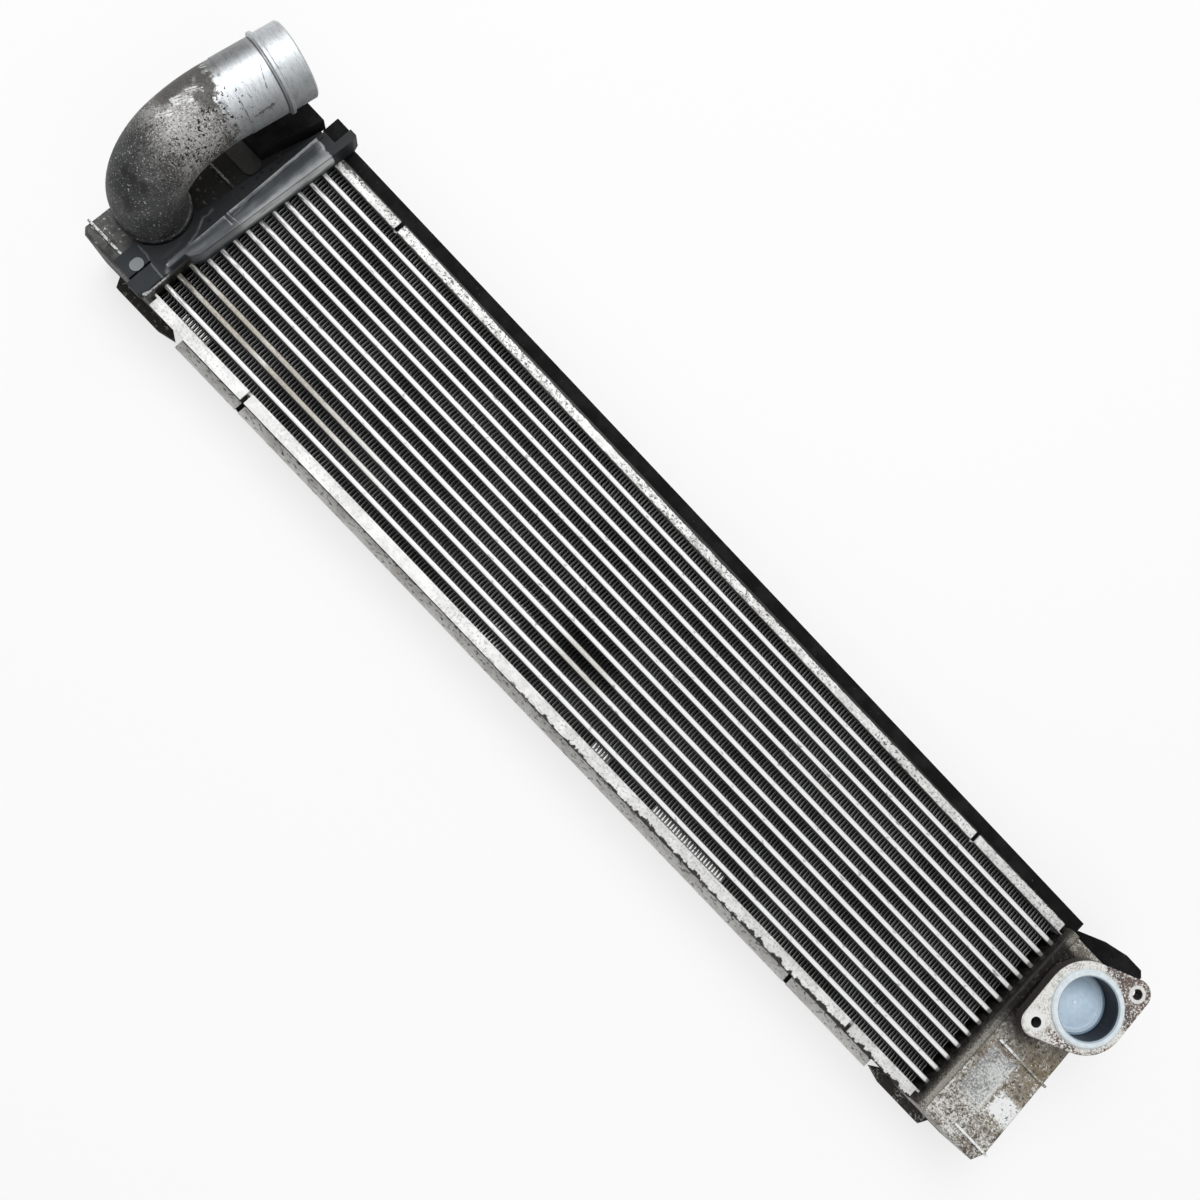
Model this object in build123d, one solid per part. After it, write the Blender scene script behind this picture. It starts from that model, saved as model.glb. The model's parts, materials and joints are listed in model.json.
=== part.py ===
from build123d import *
import os
from math import cos, hypot, radians, sin

# The part lies on its back: X runs along the tubes from the hose elbow to the bolted port,
# Y runs across the tubes and Z is up, from the backs of the tanks to the front of the core.

# Core
tube_count = 13
tube_thickness = 5.0
tube_wall = 0.5
core_depth = 50.0
fin_height = 6.57
fin_sheet = 0.35
fin_leg_count = 100
fin_recess = 1.5
fin_inlet_gap = 3.5
fin_outlet_gap = 7.0
turbulator_leg_count = 10
turbulator_sheet = 0.3
core_length = 797.2

# Header plates
header_thickness = 3.0
header_ledge = 2.0
header_corner = 6.0
tube_reach = 2.0
braze_gap = 0.05
nest_gap = 0.1

# Side plates
side_sheet = 1.6
side_flange = 9.2
rear_rail_flange = 15.0
side_flange_setback = 3.0
rear_rail_setback = 20.0
relief_slot = 3.6
relief_slot_ends = 3.0

# Saw cuts, from the core's inlet end and from its outlet end
upper_cuts = (76.6, 98.6)
lower_front_cuts = (96.6, 71.6)
lower_rear_cuts = (85.6, 110.6)

# Tanks
tank_length = 173.0
tank_depth = 66.0
tank_reach = 61.2
tank_flare = 4.6
rim_width = 8.5
rim_proud = 2.5
rim_round = 2.2
tank_wall = 3.0
tank_end_wall = 5.5
tank_round = 3.0
corner_cut_x = 5.0
corner_cut_y = 10.0
inlet_corner_cut = 4.0
rib_thickness = 1.8
rib_rise = 2.0
rib_overhang = 1.0
rib_depth = 40.0
rib_start = 15.0
lower_rib_start = 32.0
inlet_rib_rises = (99.5, 9.0)
outlet_rib_rises = (76.5, 10.1)
lug_thickness = 7.0
lug_overhang = 7.5
lug_reach = 14.6
lug_tail = 50.0

# A raised casting pad on the inlet tank, below the foam block
cast_pad_reach = 17.0
cast_pad_length = 40.0
cast_pad_width = 15.0
cast_pad_height = 1.6
cast_pad_corner = 6.0
cast_pad_gap = 1.0

# Bolted port on the outlet tank
port_reach = 36.4
port_drop = 37.4
port_face_rise = 28.0
port_radius = 33.8
port_flange_thickness = 10.0
port_neck_radius = 28.0
port_neck_flare = 2.5
port_bore_radius = 24.7
bolt_spacing = 81.0
bolt_angle = 58.0
bolt_hole_radius = 4.0
bolt_lobe_radius = 10.9
port_edge_chamfer = 0.8
port_boss_drop = 22.0

# Blanking plug in the port
plug_gap = 0.2
plug_wall = 1.35
plug_ring_radius = 28.2
plug_ring_height = 3.0
plug_ring_bevel = 1.0
plug_cup_depth = 18.2
plug_floor = 1.4
plug_step_radius = 21.8
plug_step_width = 2.4
plug_step_height = 1.0
plug_gate_radius = 1.3
plug_gate_height = 0.9

# Hose elbow on the inlet tank
elbow_reach = 44.4
elbow_lift = 48.0
elbow_radius = 26.0
elbow_wall = 3.2
elbow_collar_radius = 27.2
elbow_collar_height = 6.0
elbow_boss_drop = 38.0
elbow_axis_rise = 60.0
elbow_bend = 39.5
elbow_lean = 3.7
elbow_yaw = 9.4
elbow_run = 40.0
spigot_length = 57.0
spigot_radius = 26.8
bead_radius = 28.6
bead_width = 4.0
bead_setback = 20.4
machined_length = 52.0
machined_step = 0.4
spigot_lead_in = 1.2

# Air deflector over the inlet tank's joint: reaches run from the core's end, over the tank
# where above zero and over the core where below; rises run from the tank's nearer end
deflector_wall = 2.5
deflector_over_rim = 9.0
deflector_flange_over_rim = 3.0
deflector_clearance = 2.0
deflector_top_rise = 15.8
deflector_cap_rise = 11.2
deflector_notch_rise = 0.5
deflector_notch_reach = -6.8
deflector_cap_reach = -12.5
deflector_upper_reach = -14.0
deflector_lower_reach = -5.5
deflector_step_reach = -2.3
deflector_step_rise = 42.2
deflector_step_depth = 1.8
deflector_post_reach = 1.3
deflector_post_width = 12.9
deflector_post_rise = 20.0
deflector_tail_cut = 9.4
deflector_ridge_reach = 4.0
deflector_ridge_waist = 3.6
deflector_waist_rise = 101.5
deflector_cross_rise = 83.8
deflector_ridge = 2.6
deflector_ridge_height = 0.9
deflector_flange_top_reach = 8.3
deflector_flange_low_reach = 20.4
deflector_flange_low_rise = 68.9
deflector_bottom_overhang = 2.9
deflector_foot_reach = 32.0
deflector_foot_top_rise = 25.7
deflector_foot_bottom_rise = 0.8
deflector_foot_slot = 1.6
deflector_button_reach = 19.4
deflector_button_rise = 11.5
deflector_button_length = 10.6
deflector_button_width = 8.4
deflector_button_height = 0.8

# Foam
strip_front_gap = 3.0
strip_rear_gap = 2.0
strip_proud = 11.4
strip_end_gap = 0.5
strip_tongue = 10.0
block_height = 14.0
block_reach = 43.4
block_gap = 1.0
block_drop = 44.5
block_overhang = 5.5
wedge_width = 12.5
wedge_rise = 15.0
wedge_top_gap = 2.0
pad_gap = 0.5
pad_length = 67.0
pad_rise = 23.0
pad_slope_length = 27.0
pad_slope_rise = 18.0
pad_start_rise = 6.0
pad_height = 40.0
pad_lift = 3.0
pad_corner = 4.0

# Heights and places that follow from the values above
core_low = (tank_depth - core_depth) / 2
core_front = core_low + core_depth
core_middle = tank_depth / 2
tube_pitch = tube_thickness + fin_height
stack_half = (tube_count * tube_thickness + (tube_count + 1) * fin_height) / 2
core_half = core_length / 2
header_outer = core_half + header_thickness
tank_outer = core_half + tank_reach
rim_outer = core_half + rim_width
tank_half = tank_length / 2
body_low = rim_proud
body_top = tank_depth - rim_proud
cavity_low = body_low + tank_wall
cavity_top = body_top - tank_wall
cavity_half = tank_half - tank_end_wall
header_half = cavity_half + header_ledge
header_low = cavity_low - header_ledge
header_high = cavity_top + header_ledge
port_x = core_half + port_reach
port_y = tank_half - port_drop
port_face = core_front + port_face_rise
port_boss_foot = tank_reach - port_reach
elbow_x = -core_half - elbow_reach
elbow_y = elbow_lift - tank_half
elbow_axis = core_front + elbow_axis_rise
elbow_boss_foot = tank_reach - elbow_reach
block_low = tank_half - block_drop
deflector_rise = tank_depth + deflector_over_rim - core_front
deflector_flange_rise = tank_depth + deflector_flange_over_rim - core_front


def box_between(x0, x1, y0, y1, z0, z1):
    centre = ((x0 + x1) / 2, (y0 + y1) / 2, (z0 + z1) / 2)
    return Pos(*centre) * Box(x1 - x0, y1 - y0, z1 - z0)


# A folded sheet: straight legs that run from crest to crest, of even thickness.
def folded_sheet(length, height, legs, sheet):
    step = length / legs
    crest = sheet * hypot(step, height) / step
    above = []
    below = []
    for i in range(legs + 1):
        x = i * step - length / 2
        side = 1 if i % 2 == 0 else -1
        outer = (x, side * height / 2)
        inner = (x, side * (height / 2 - crest))
        above.append(outer if side > 0 else inner)
        below.append(inner if side > 0 else outer)
    return make_face(Polyline(*above, *reversed(below), close=True))


def tube(y):
    width = core_depth - 2 * tube_wall
    height = tube_thickness - 2 * tube_wall
    section = SlotOverall(core_depth, tube_thickness) - SlotOverall(width, height)
    reach = 2 * (header_outer + tube_reach)
    plane = Plane(origin=(-reach / 2, y, core_middle), x_dir=(0, 0, 1), z_dir=(1, 0, 0))
    return extrude(plane * section, reach)


def turbulator(y):
    height = tube_thickness - 2 * tube_wall
    width = core_depth - 2 * tube_wall - height
    section = folded_sheet(width, height, turbulator_leg_count, turbulator_sheet)
    plane = Plane(origin=(-core_half, y, core_middle), x_dir=(0, 0, 1), z_dir=(1, 0, 0))
    return extrude(plane * section, core_length)


def fin_row(y):
    length = core_length - fin_inlet_gap - fin_outlet_gap
    centre_x = (fin_inlet_gap - fin_outlet_gap) / 2
    section = folded_sheet(length, fin_height, fin_leg_count, fin_sheet)
    return Pos(centre_x, y, core_low + fin_recess) * extrude(section, core_depth - 2 * fin_recess)


def header_plate():
    blank = RectangleRounded(header_high - header_low, 2 * header_half, header_corner)
    slot = SlotOverall(core_depth + 2 * braze_gap, tube_thickness + 2 * braze_gap)
    blank -= GridLocations(1, tube_pitch, 1, tube_count) * slot
    plane = Plane(origin=(core_half, 0, core_middle), x_dir=(0, 0, 1), z_dir=(1, 0, 0))
    return extrude(plane * blank, header_thickness)


# A channel along the outermost fins: web, front flange and rear flange, with saw cuts.
def side_plate(front_cuts, rear_cuts, rear_flange):
    inner = stack_half
    outer = stack_half + side_sheet
    front_reach = core_half - side_flange_setback
    rear_reach = core_half - rear_rail_setback
    web = box_between(-core_half, core_half, inner, outer, core_low, core_front)
    front_low = core_front - side_sheet
    front = box_between(-front_reach, front_reach, outer, inner + side_flange, front_low, core_front)
    rear_high = core_low + side_sheet
    rear = box_between(-rear_reach, rear_reach, outer, inner + rear_flange, core_low, rear_high)
    plate = web + front + rear
    for x in cut_places(front_cuts):
        plate -= relief_cut(x, front_low - relief_slot_ends, core_front, inner, inner + side_flange)
    for x in cut_places(rear_cuts):
        plate -= relief_cut(x, core_low, rear_high + relief_slot_ends, inner, inner + rear_flange)
    return plate


def cut_places(cuts):
    return (cuts[0] - core_half, core_half - cuts[1])


def relief_cut(x, z0, z1, y0, y1):
    return box_between(x - relief_slot / 2, x + relief_slot / 2, y0, y1, z0, z1)


# The outer wall leans out towards the tank's lower end.
def tank_far(y):
    return tank_outer + tank_flare * (tank_half - y) / tank_length


# Plan outline of a tank, drawn in by an inset; the far corners are cut.
def tank_plan(start, inset_x, inset_y, low_cut_x, low_cut_y):
    half = tank_half - inset_y
    low_far = tank_far(-half) - inset_x
    high_far = tank_far(half) - inset_x
    return make_face(Polyline(
        (start, -half),
        (low_far - low_cut_x, -half),
        (low_far, low_cut_y - half),
        (high_far, half - corner_cut_y),
        (high_far - corner_cut_x, half),
        (start, half),
        close=True,
    ))


def tank_body(low_cut_x, low_cut_y):
    plan = tank_plan(core_half, 0, 0, low_cut_x, low_cut_y)
    body = extrude(Pos(0, 0, body_low) * plan, body_top - body_low)
    faces = body.faces().sort_by(Axis.Z)
    rim_edges = (faces[0].edges() + faces[-1].edges()).filter_by(
        lambda edge: edge.center().X > core_half + rim_width
    )
    body = fillet(rim_edges, tank_round)
    rim = box_between(core_half, rim_outer, -tank_half, tank_half, 0, tank_depth)
    rim_long = rim.edges().filter_by(Axis.Y)
    return body + fillet(rim_long, rim_round)


def tank_cavity():
    space = extrude(
        Pos(0, 0, cavity_low) * tank_plan(header_outer, tank_wall, tank_end_wall, corner_cut_x, corner_cut_y),
        cavity_top - cavity_low,
    )
    seat = box_between(
        core_half,
        header_outer,
        -header_half - nest_gap,
        header_half + nest_gap,
        header_low - nest_gap,
        header_high + nest_gap,
    )
    seat = fillet(seat.edges().filter_by(Axis.X), header_corner)
    return space + seat


# A thin casting rib across the front face that stands past the outer wall.
def tank_rib(rise, start):
    y = rise - tank_half
    return box_between(
        core_half + start,
        tank_far(y) + rib_overhang,
        y - rib_thickness / 2,
        y + rib_thickness / 2,
        body_top - rib_depth,
        body_top + rib_rise,
    )


# A flat lug at the back of the lower end wall, tapered towards the core.
def tank_lug():
    edge = -tank_half
    outline = make_face(Polyline(
        (core_half - lug_reach, edge - lug_overhang / 2),
        (core_half, edge - lug_overhang),
        (core_half + lug_tail - lug_overhang, edge - lug_overhang),
        (core_half + lug_tail, edge + tank_end_wall),
        (core_half, edge + tank_end_wall),
        close=True,
    ))
    return extrude(outline, lug_thickness)


def bolt_points():
    dx = bolt_spacing / 2 * cos(radians(bolt_angle))
    dy = bolt_spacing / 2 * sin(radians(bolt_angle))
    return [(dx, dy), (-dx, -dy)]


# A round pad and two ears, drawn as the tight outline round three circles.
def port_flange():
    with BuildSketch() as sketch:
        with BuildLine():
            CenterArc((0, 0), port_radius, 0, 360)
            for point in bolt_points():
                CenterArc(point, bolt_lobe_radius, 0, 360)
        make_hull()
    low = port_face - port_flange_thickness
    flange = extrude(Pos(port_x, port_y, low) * sketch.sketch, port_flange_thickness)
    return chamfer(flange.faces().sort_by(Axis.Z)[-1].edges(), port_edge_chamfer)


def port_neck():
    flare_top = body_top + 2 * port_neck_flare
    profile = make_face(Polyline(
        (0, body_top - port_boss_drop),
        (port_boss_foot, body_top - port_boss_drop),
        (port_neck_radius + port_neck_flare, body_top),
        (port_neck_radius, flare_top),
        (port_neck_radius, port_face - port_flange_thickness),
        (0, port_face - port_flange_thickness),
        close=True,
    ))
    return Pos(port_x, port_y, 0) * revolve(Plane.XZ * profile, Axis.Z)


def outlet_tank():
    tank = tank_body(corner_cut_x, corner_cut_y) + tank_rib(outlet_rib_rises[0], rib_start)
    tank += tank_rib(outlet_rib_rises[1], lower_rib_start)
    tank += tank_lug() + port_neck() + port_flange()
    tank -= tank_cavity()
    bore_low = (cavity_low + cavity_top) / 2
    bore = Cylinder(port_bore_radius, port_face - bore_low, align=(Align.CENTER, Align.CENTER, Align.MIN))
    tank -= Pos(port_x, port_y, bore_low) * bore
    for dx, dy in bolt_points():
        hole = Cylinder(bolt_hole_radius, 2 * port_flange_thickness)
        tank -= Pos(port_x + dx, port_y + dy, port_face - port_flange_thickness / 2) * hole
    return tank


# The elbow's centre line: up, over and out along +Y, leaning a little to the side.
def elbow_path():
    start = Vector(elbow_x, elbow_y, cavity_top)
    rise = Line(start, (elbow_x, elbow_y, elbow_axis - elbow_bend))
    lean = radians(elbow_lean)
    over = (elbow_x - elbow_bend * sin(lean), elbow_y + elbow_bend * cos(lean), elbow_axis)
    bend = TangentArc(rise @ 1, over, tangent=rise % 1)
    chord = radians((elbow_yaw - elbow_lean) / 2)
    out = (over[0] + elbow_run * sin(chord), over[1] + elbow_run * cos(chord), elbow_axis)
    run = TangentArc(bend @ 1, out, tangent=bend % 1)
    return Wire([rise, bend, run])


def spigot_plane():
    path = elbow_path()
    return Plane(origin=path @ 1, x_dir=(0, 0, 1), z_dir=path % 1)


# The machined hose end, turned about the elbow's last direction.
def hose_spigot():
    bead = spigot_length - bead_setback
    half_bead = bead_width / 2
    profile = make_face(Polyline(
        (0, 0),
        (elbow_radius, 0),
        (elbow_radius, spigot_length - machined_length),
        (elbow_radius + machined_step, spigot_length - machined_length),
        (elbow_radius + machined_step, bead - half_bead),
        (bead_radius, bead - half_bead / 2),
        (bead_radius, bead + half_bead / 2),
        (spigot_radius, bead + half_bead),
        (spigot_radius, spigot_length - spigot_lead_in),
        (spigot_radius - spigot_lead_in, spigot_length),
        (0, spigot_length),
        close=True,
    ))
    return spigot_plane() * revolve(Plane.XZ * profile, Axis.Z)


def inlet_ribs():
    return [tank_rib(rise, rib_start) for rise in inlet_rib_rises]


# The foot of the elbow: a collar that runs down the outer wall as a cone.
def elbow_foot():
    foot_low = body_top - elbow_boss_drop
    profile = make_face(Polyline(
        (0, foot_low),
        (elbow_boss_foot, foot_low),
        (elbow_collar_radius, body_top),
        (elbow_collar_radius, body_top + elbow_collar_height),
        (0, body_top + elbow_collar_height),
        close=True,
    ))
    return Pos(elbow_x, elbow_y, 0) * revolve(Plane.XZ * profile, Axis.Z)


def elbow_entry(bore):
    foot_low = body_top - elbow_boss_drop
    profile = make_face(Polyline(
        (0, foot_low),
        (elbow_boss_foot - elbow_wall, foot_low),
        (bore, body_top),
        (0, body_top),
        close=True,
    ))
    return Pos(elbow_x, elbow_y, 0) * revolve(Plane.XZ * profile, Axis.Z)


# A low pad with round corners on the tank's front face.
def cast_pad():
    centre_x = core_half + cast_pad_reach + cast_pad_length / 2
    centre_y = block_low - cast_pad_gap - cast_pad_width / 2
    pad = RectangleRounded(cast_pad_length, cast_pad_width, cast_pad_corner)
    return extrude(Pos(centre_x, centre_y, body_top - tank_wall) * pad, tank_wall + cast_pad_height)


def inlet_tank():
    casing = tank_body(inlet_corner_cut, inlet_corner_cut)
    tank = mirror(casing + inlet_ribs() + tank_lug() + cast_pad(), about=Plane.YZ)
    path = elbow_path()
    base = Plane(origin=path @ 0, z_dir=path % 0)
    tank += elbow_foot()
    tank += sweep(base * Circle(elbow_radius), path=path)
    tank += hose_spigot()
    bore = elbow_radius - elbow_wall
    tank -= sweep(base * Circle(bore), path=path)
    tank -= spigot_plane() * extrude(Circle(bore), spigot_length)
    tank -= elbow_entry(bore)
    return tank - mirror(tank_cavity(), about=Plane.YZ)


# A cup that closes the port: a bevelled ring on the flange and a stepped floor below.
def port_plug():
    outer = port_bore_radius - plug_gap
    inner = outer - plug_wall
    floor_top = -plug_cup_depth
    floor_low = floor_top - plug_floor
    profile = make_face(Polyline(
        (0, floor_low),
        (outer, floor_low),
        (outer, 0),
        (plug_ring_radius, 0),
        (plug_ring_radius, plug_ring_height - plug_ring_bevel),
        (plug_ring_radius - plug_ring_bevel, plug_ring_height),
        (inner + plug_ring_bevel, plug_ring_height),
        (inner, plug_ring_height - plug_ring_bevel),
        (inner, floor_top),
        (plug_step_radius, floor_top),
        (plug_step_radius, floor_top + plug_step_height),
        (plug_step_radius - plug_step_width, floor_top + plug_step_height),
        (plug_step_radius - plug_step_width, floor_top),
        (plug_gate_radius, floor_top),
        (plug_gate_radius, floor_top + plug_gate_height),
        (0, floor_top + plug_gate_height),
        close=True,
    ))
    return Pos(port_x, port_y, port_face) * revolve(Plane.XZ * profile, Axis.Z)


# A point of the air deflector, from its reach past the core's end and its height up the page.
def deflector_point(reach, y):
    return (-core_half - reach, y)


# The line of the fold between the deflector's face and its flange.
def deflector_fold():
    low = -tank_half
    return [
        deflector_point(deflector_ridge_reach, tank_half + deflector_notch_rise),
        deflector_point(deflector_ridge_waist, low + deflector_waist_rise),
        deflector_point(deflector_ridge_reach, low + deflector_cross_rise),
        deflector_point(deflector_ridge_reach, low + deflector_foot_top_rise),
    ]


# The face over the core's end, from the cap at the top to the torn step at the bottom.
def deflector_face():
    top = tank_half + deflector_top_rise
    low = -tank_half
    return make_face(Polyline(
        *deflector_fold(),
        deflector_point(deflector_post_reach, low + deflector_foot_top_rise),
        deflector_point(deflector_post_reach, low + deflector_step_rise - deflector_step_depth),
        deflector_point(deflector_step_reach, low + deflector_step_rise),
        deflector_point(deflector_lower_reach, elbow_y),
        deflector_point(deflector_upper_reach, tank_half + deflector_cap_rise),
        deflector_point(deflector_cap_reach, top),
        deflector_point(deflector_notch_reach, top),
        deflector_point(deflector_notch_reach, tank_half + deflector_notch_rise),
        close=True,
    ))


# The flange over the tank, which ends in a post and a foot beside the elbow.
def deflector_flange():
    low = -tank_half
    bottom = low - deflector_bottom_overhang
    post_outer = deflector_post_reach + deflector_post_width
    return make_face(Polyline(
        *deflector_fold(),
        deflector_point(deflector_post_reach, low + deflector_foot_top_rise),
        deflector_point(deflector_post_reach, bottom + deflector_tail_cut),
        deflector_point(deflector_ridge_reach, bottom),
        deflector_point(post_outer, bottom),
        deflector_point(post_outer, low + deflector_foot_bottom_rise),
        deflector_point(deflector_foot_reach, low + deflector_foot_bottom_rise),
        deflector_point(deflector_foot_reach, low + deflector_foot_top_rise),
        deflector_point(deflector_flange_low_reach, low + deflector_flange_low_rise),
        deflector_point(deflector_flange_top_reach, tank_half + deflector_notch_rise),
        close=True,
    ))


# A shell of even wall over an outline, open below and cut back round the elbow's foot.
def deflector_shell(outline, rise):
    inner = offset(outline, -deflector_wall, kind=Kind.INTERSECTION)
    keep_out = elbow_collar_radius + deflector_clearance
    outer_plan = outline - Pos(elbow_x, elbow_y) * Circle(keep_out)
    inner_plan = inner - Pos(elbow_x, elbow_y) * Circle(keep_out + deflector_wall)
    shell = extrude(Pos(0, 0, core_front) * outer_plan, rise)
    return shell - extrude(Pos(0, 0, core_front) * inner_plan, rise - deflector_wall)


def deflector_bead(points, rise):
    plan = trace(Polyline(*points), line_width=deflector_ridge)
    return extrude(Pos(0, 0, core_front + rise) * plan, deflector_ridge_height)


def air_deflector():
    low = -tank_half
    shape = deflector_shell(deflector_face(), deflector_rise)
    shape += deflector_shell(deflector_flange(), deflector_flange_rise)
    fold = deflector_fold()
    ridge_line = [(x + deflector_ridge / 2, y - deflector_ridge) for x, y in fold[:3]]
    shape += deflector_bead(ridge_line, deflector_rise)
    cross_line = [ridge_line[2], deflector_point(deflector_lower_reach + deflector_ridge, ridge_line[2][1])]
    shape += deflector_bead(cross_line, deflector_rise)
    button = SlotOverall(deflector_button_length, deflector_button_width, rotation=90)
    button_x, button_y = deflector_point(deflector_button_reach, low + deflector_button_rise)
    button_low = core_front + deflector_flange_rise
    shape += extrude(Pos(button_x, button_y, button_low) * button, deflector_button_height)
    post_outer = -core_half - deflector_post_reach - deflector_post_width
    shape -= box_between(
        post_outer - deflector_foot_slot,
        post_outer,
        low,
        low + deflector_post_rise,
        core_front,
        core_front + deflector_flange_rise,
    )
    tank_space = box_between(-tank_outer, -core_half, -tank_half, tank_half, 0, body_top)
    rim_space = box_between(-rim_outer, -core_half, -tank_half, tank_half, 0, tank_depth)
    rib_space = [mirror(rib, about=Plane.YZ) for rib in inlet_ribs()]
    pad_space = mirror(cast_pad(), about=Plane.YZ)
    return shape - tank_space - rim_space - rib_space - pad_space


# The foam seal that fills the upper side plate's channel and stands out of it.
def foam_strip():
    inner = stack_half + side_sheet
    outer = stack_half + side_flange + strip_proud
    low = core_low + side_sheet + strip_rear_gap
    high = core_front - side_sheet - strip_front_gap
    end = core_half - strip_end_gap
    strip = box_between(-end, end, inner, outer, low, high)
    return strip + box_between(end, core_half + strip_tongue, tank_half, outer, low, high)


# A block on the tank beside the deflector, under the hose spigot.
def foam_block():
    high = tank_half + block_overhang
    left = -core_half - block_reach
    low_right = -core_half - deflector_flange_low_reach - block_gap
    high_right = -core_half - deflector_flange_top_reach - block_gap
    outline = make_face(Polyline(
        (left, block_low),
        (low_right, block_low),
        (high_right, high),
        (left, high),
        close=True,
    ))
    return extrude(Pos(0, 0, body_top) * outline, block_height)


# A small square piece that fills the notch beside the deflector's cap.
def foam_wedge():
    right = -core_half - deflector_notch_reach
    low = tank_half + deflector_notch_rise
    high = core_front + deflector_rise - wedge_top_gap
    return box_between(right - wedge_width, right, low, tank_half + wedge_rise, core_front, high)


# A pad on the outlet tank's upper end wall, that slopes down towards the foam strip.
def foam_pad():
    left = core_half + strip_tongue + pad_gap
    right = left + pad_length
    top = tank_half + pad_rise
    outline = make_face(Polyline(
        (left, tank_half),
        (right, tank_half),
        (right, top - pad_corner),
        (right - pad_corner, top),
        ((left + pad_slope_length + right) / 2, top),
        (left + pad_slope_length, tank_half + pad_slope_rise),
        (left, tank_half + pad_start_rise),
        close=True,
    ))
    return extrude(Pos(0, 0, pad_lift) * outline, pad_height)


def numbered(name, index):
    return name + "_" + format(index + 1, "02d")


def build_nodes():
    nodes = {}
    for i in range(tube_count):
        y = (i - (tube_count - 1) / 2) * tube_pitch
        nodes[numbered("tube", i)] = tube(y)
        nodes[numbered("turbulator", i)] = turbulator(y)
    for i in range(tube_count + 1):
        nodes[numbered("fin_row", i)] = fin_row((i - tube_count / 2) * tube_pitch)
    nodes["header_plate_inlet"] = mirror(header_plate(), about=Plane.YZ)
    nodes["header_plate_outlet"] = header_plate()
    nodes["side_plate_upper"] = side_plate(upper_cuts, upper_cuts, side_flange)
    lower_plate = side_plate(lower_front_cuts, lower_rear_cuts, rear_rail_flange)
    nodes["side_plate_lower"] = mirror(lower_plate, about=Plane.XZ)
    nodes["inlet_tank"] = inlet_tank()
    nodes["outlet_tank"] = outlet_tank()
    nodes["port_plug"] = port_plug()
    nodes["air_deflector"] = air_deflector()
    nodes["foam_strip"] = foam_strip()
    nodes["foam_block"] = foam_block()
    nodes["foam_wedge"] = foam_wedge()
    nodes["foam_pad"] = foam_pad()
    return nodes


# The origin goes to the middle of the whole part's box, on the plane that it lies on.
nodes = build_nodes()
box = Compound(list(nodes.values())).bounding_box()
shift = Vector(-box.center().X, -box.center().Y, -box.min.Z)

os.makedirs("parts", exist_ok=True)
for name, shape in nodes.items():
    placed = Pos(shift) * shape
    placed.label = name
    export_step(placed, "parts/" + name + ".step")
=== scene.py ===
import json
import math
import bpy
import numpy as np
from mathutils import Matrix, Vector


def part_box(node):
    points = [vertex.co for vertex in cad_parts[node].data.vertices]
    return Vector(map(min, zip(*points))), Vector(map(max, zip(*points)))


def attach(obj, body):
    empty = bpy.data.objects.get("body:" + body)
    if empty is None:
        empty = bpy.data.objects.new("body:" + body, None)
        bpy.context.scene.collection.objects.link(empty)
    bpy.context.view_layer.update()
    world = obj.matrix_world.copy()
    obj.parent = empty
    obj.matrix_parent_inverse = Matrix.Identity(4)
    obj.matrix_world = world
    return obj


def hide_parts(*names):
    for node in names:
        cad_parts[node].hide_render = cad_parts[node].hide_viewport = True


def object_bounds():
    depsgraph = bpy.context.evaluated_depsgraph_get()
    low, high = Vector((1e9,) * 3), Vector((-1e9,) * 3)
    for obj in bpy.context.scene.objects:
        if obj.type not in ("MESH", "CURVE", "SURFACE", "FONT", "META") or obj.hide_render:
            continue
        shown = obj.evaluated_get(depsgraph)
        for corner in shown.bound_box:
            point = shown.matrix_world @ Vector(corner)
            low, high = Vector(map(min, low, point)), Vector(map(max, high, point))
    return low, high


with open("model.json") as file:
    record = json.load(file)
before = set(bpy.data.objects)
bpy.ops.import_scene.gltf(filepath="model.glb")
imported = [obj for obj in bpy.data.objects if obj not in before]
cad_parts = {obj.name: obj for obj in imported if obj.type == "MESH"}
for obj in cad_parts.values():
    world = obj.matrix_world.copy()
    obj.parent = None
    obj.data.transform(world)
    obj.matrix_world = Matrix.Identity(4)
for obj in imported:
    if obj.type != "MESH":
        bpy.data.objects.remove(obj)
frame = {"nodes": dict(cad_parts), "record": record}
cadLow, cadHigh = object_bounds()
mm = 0.001

# The middle tube gives the core's centre, and its top gives the core's front plane.
middleLow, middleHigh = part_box("tube_07")
coreX = (middleLow.x + middleHigh.x) / 2
coreY = (middleLow.y + middleHigh.y) / 2
frontZ = middleHigh.z
print("frame loaded, core front at", round(frontZ, 4))


def place(x, y, z=0.0):
    # millimetres from the core's centre and front plane, to metres in the frame
    return Vector((coreX + x * mm, coreY + y * mm, frontZ + z * mm))


# Camera, floor and light

view = {
    "lens": 36.0,
    "sensor": 36.0,
    "eye": (-55.0, -129.0, 865.7),
    "aim": (-23.5, 0.6, 0.0),
    "turn": 46.0,  # degrees that the picture's up lies from +Y towards -X
    "nearest": 0.01,
}


def makeCamera(values):
    data = bpy.data.cameras.new("camera")
    data.lens = values["lens"]
    data.sensor_width = values["sensor"]
    data.clip_start = values["nearest"]
    camera = bpy.data.objects.new("camera", data)
    bpy.context.scene.collection.objects.link(camera)
    eye, aim = place(*values["eye"]), place(*values["aim"])
    back = (eye - aim).normalized()
    turn = math.radians(values["turn"])
    up = Vector((-math.sin(turn), math.cos(turn), 0.0))
    right = up.cross(back).normalized()
    up = back.cross(right)
    camera.matrix_world = Matrix.Translation(eye) @ Matrix((right, up, back)).transposed().to_4x4()
    bpy.context.scene.camera = camera


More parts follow.
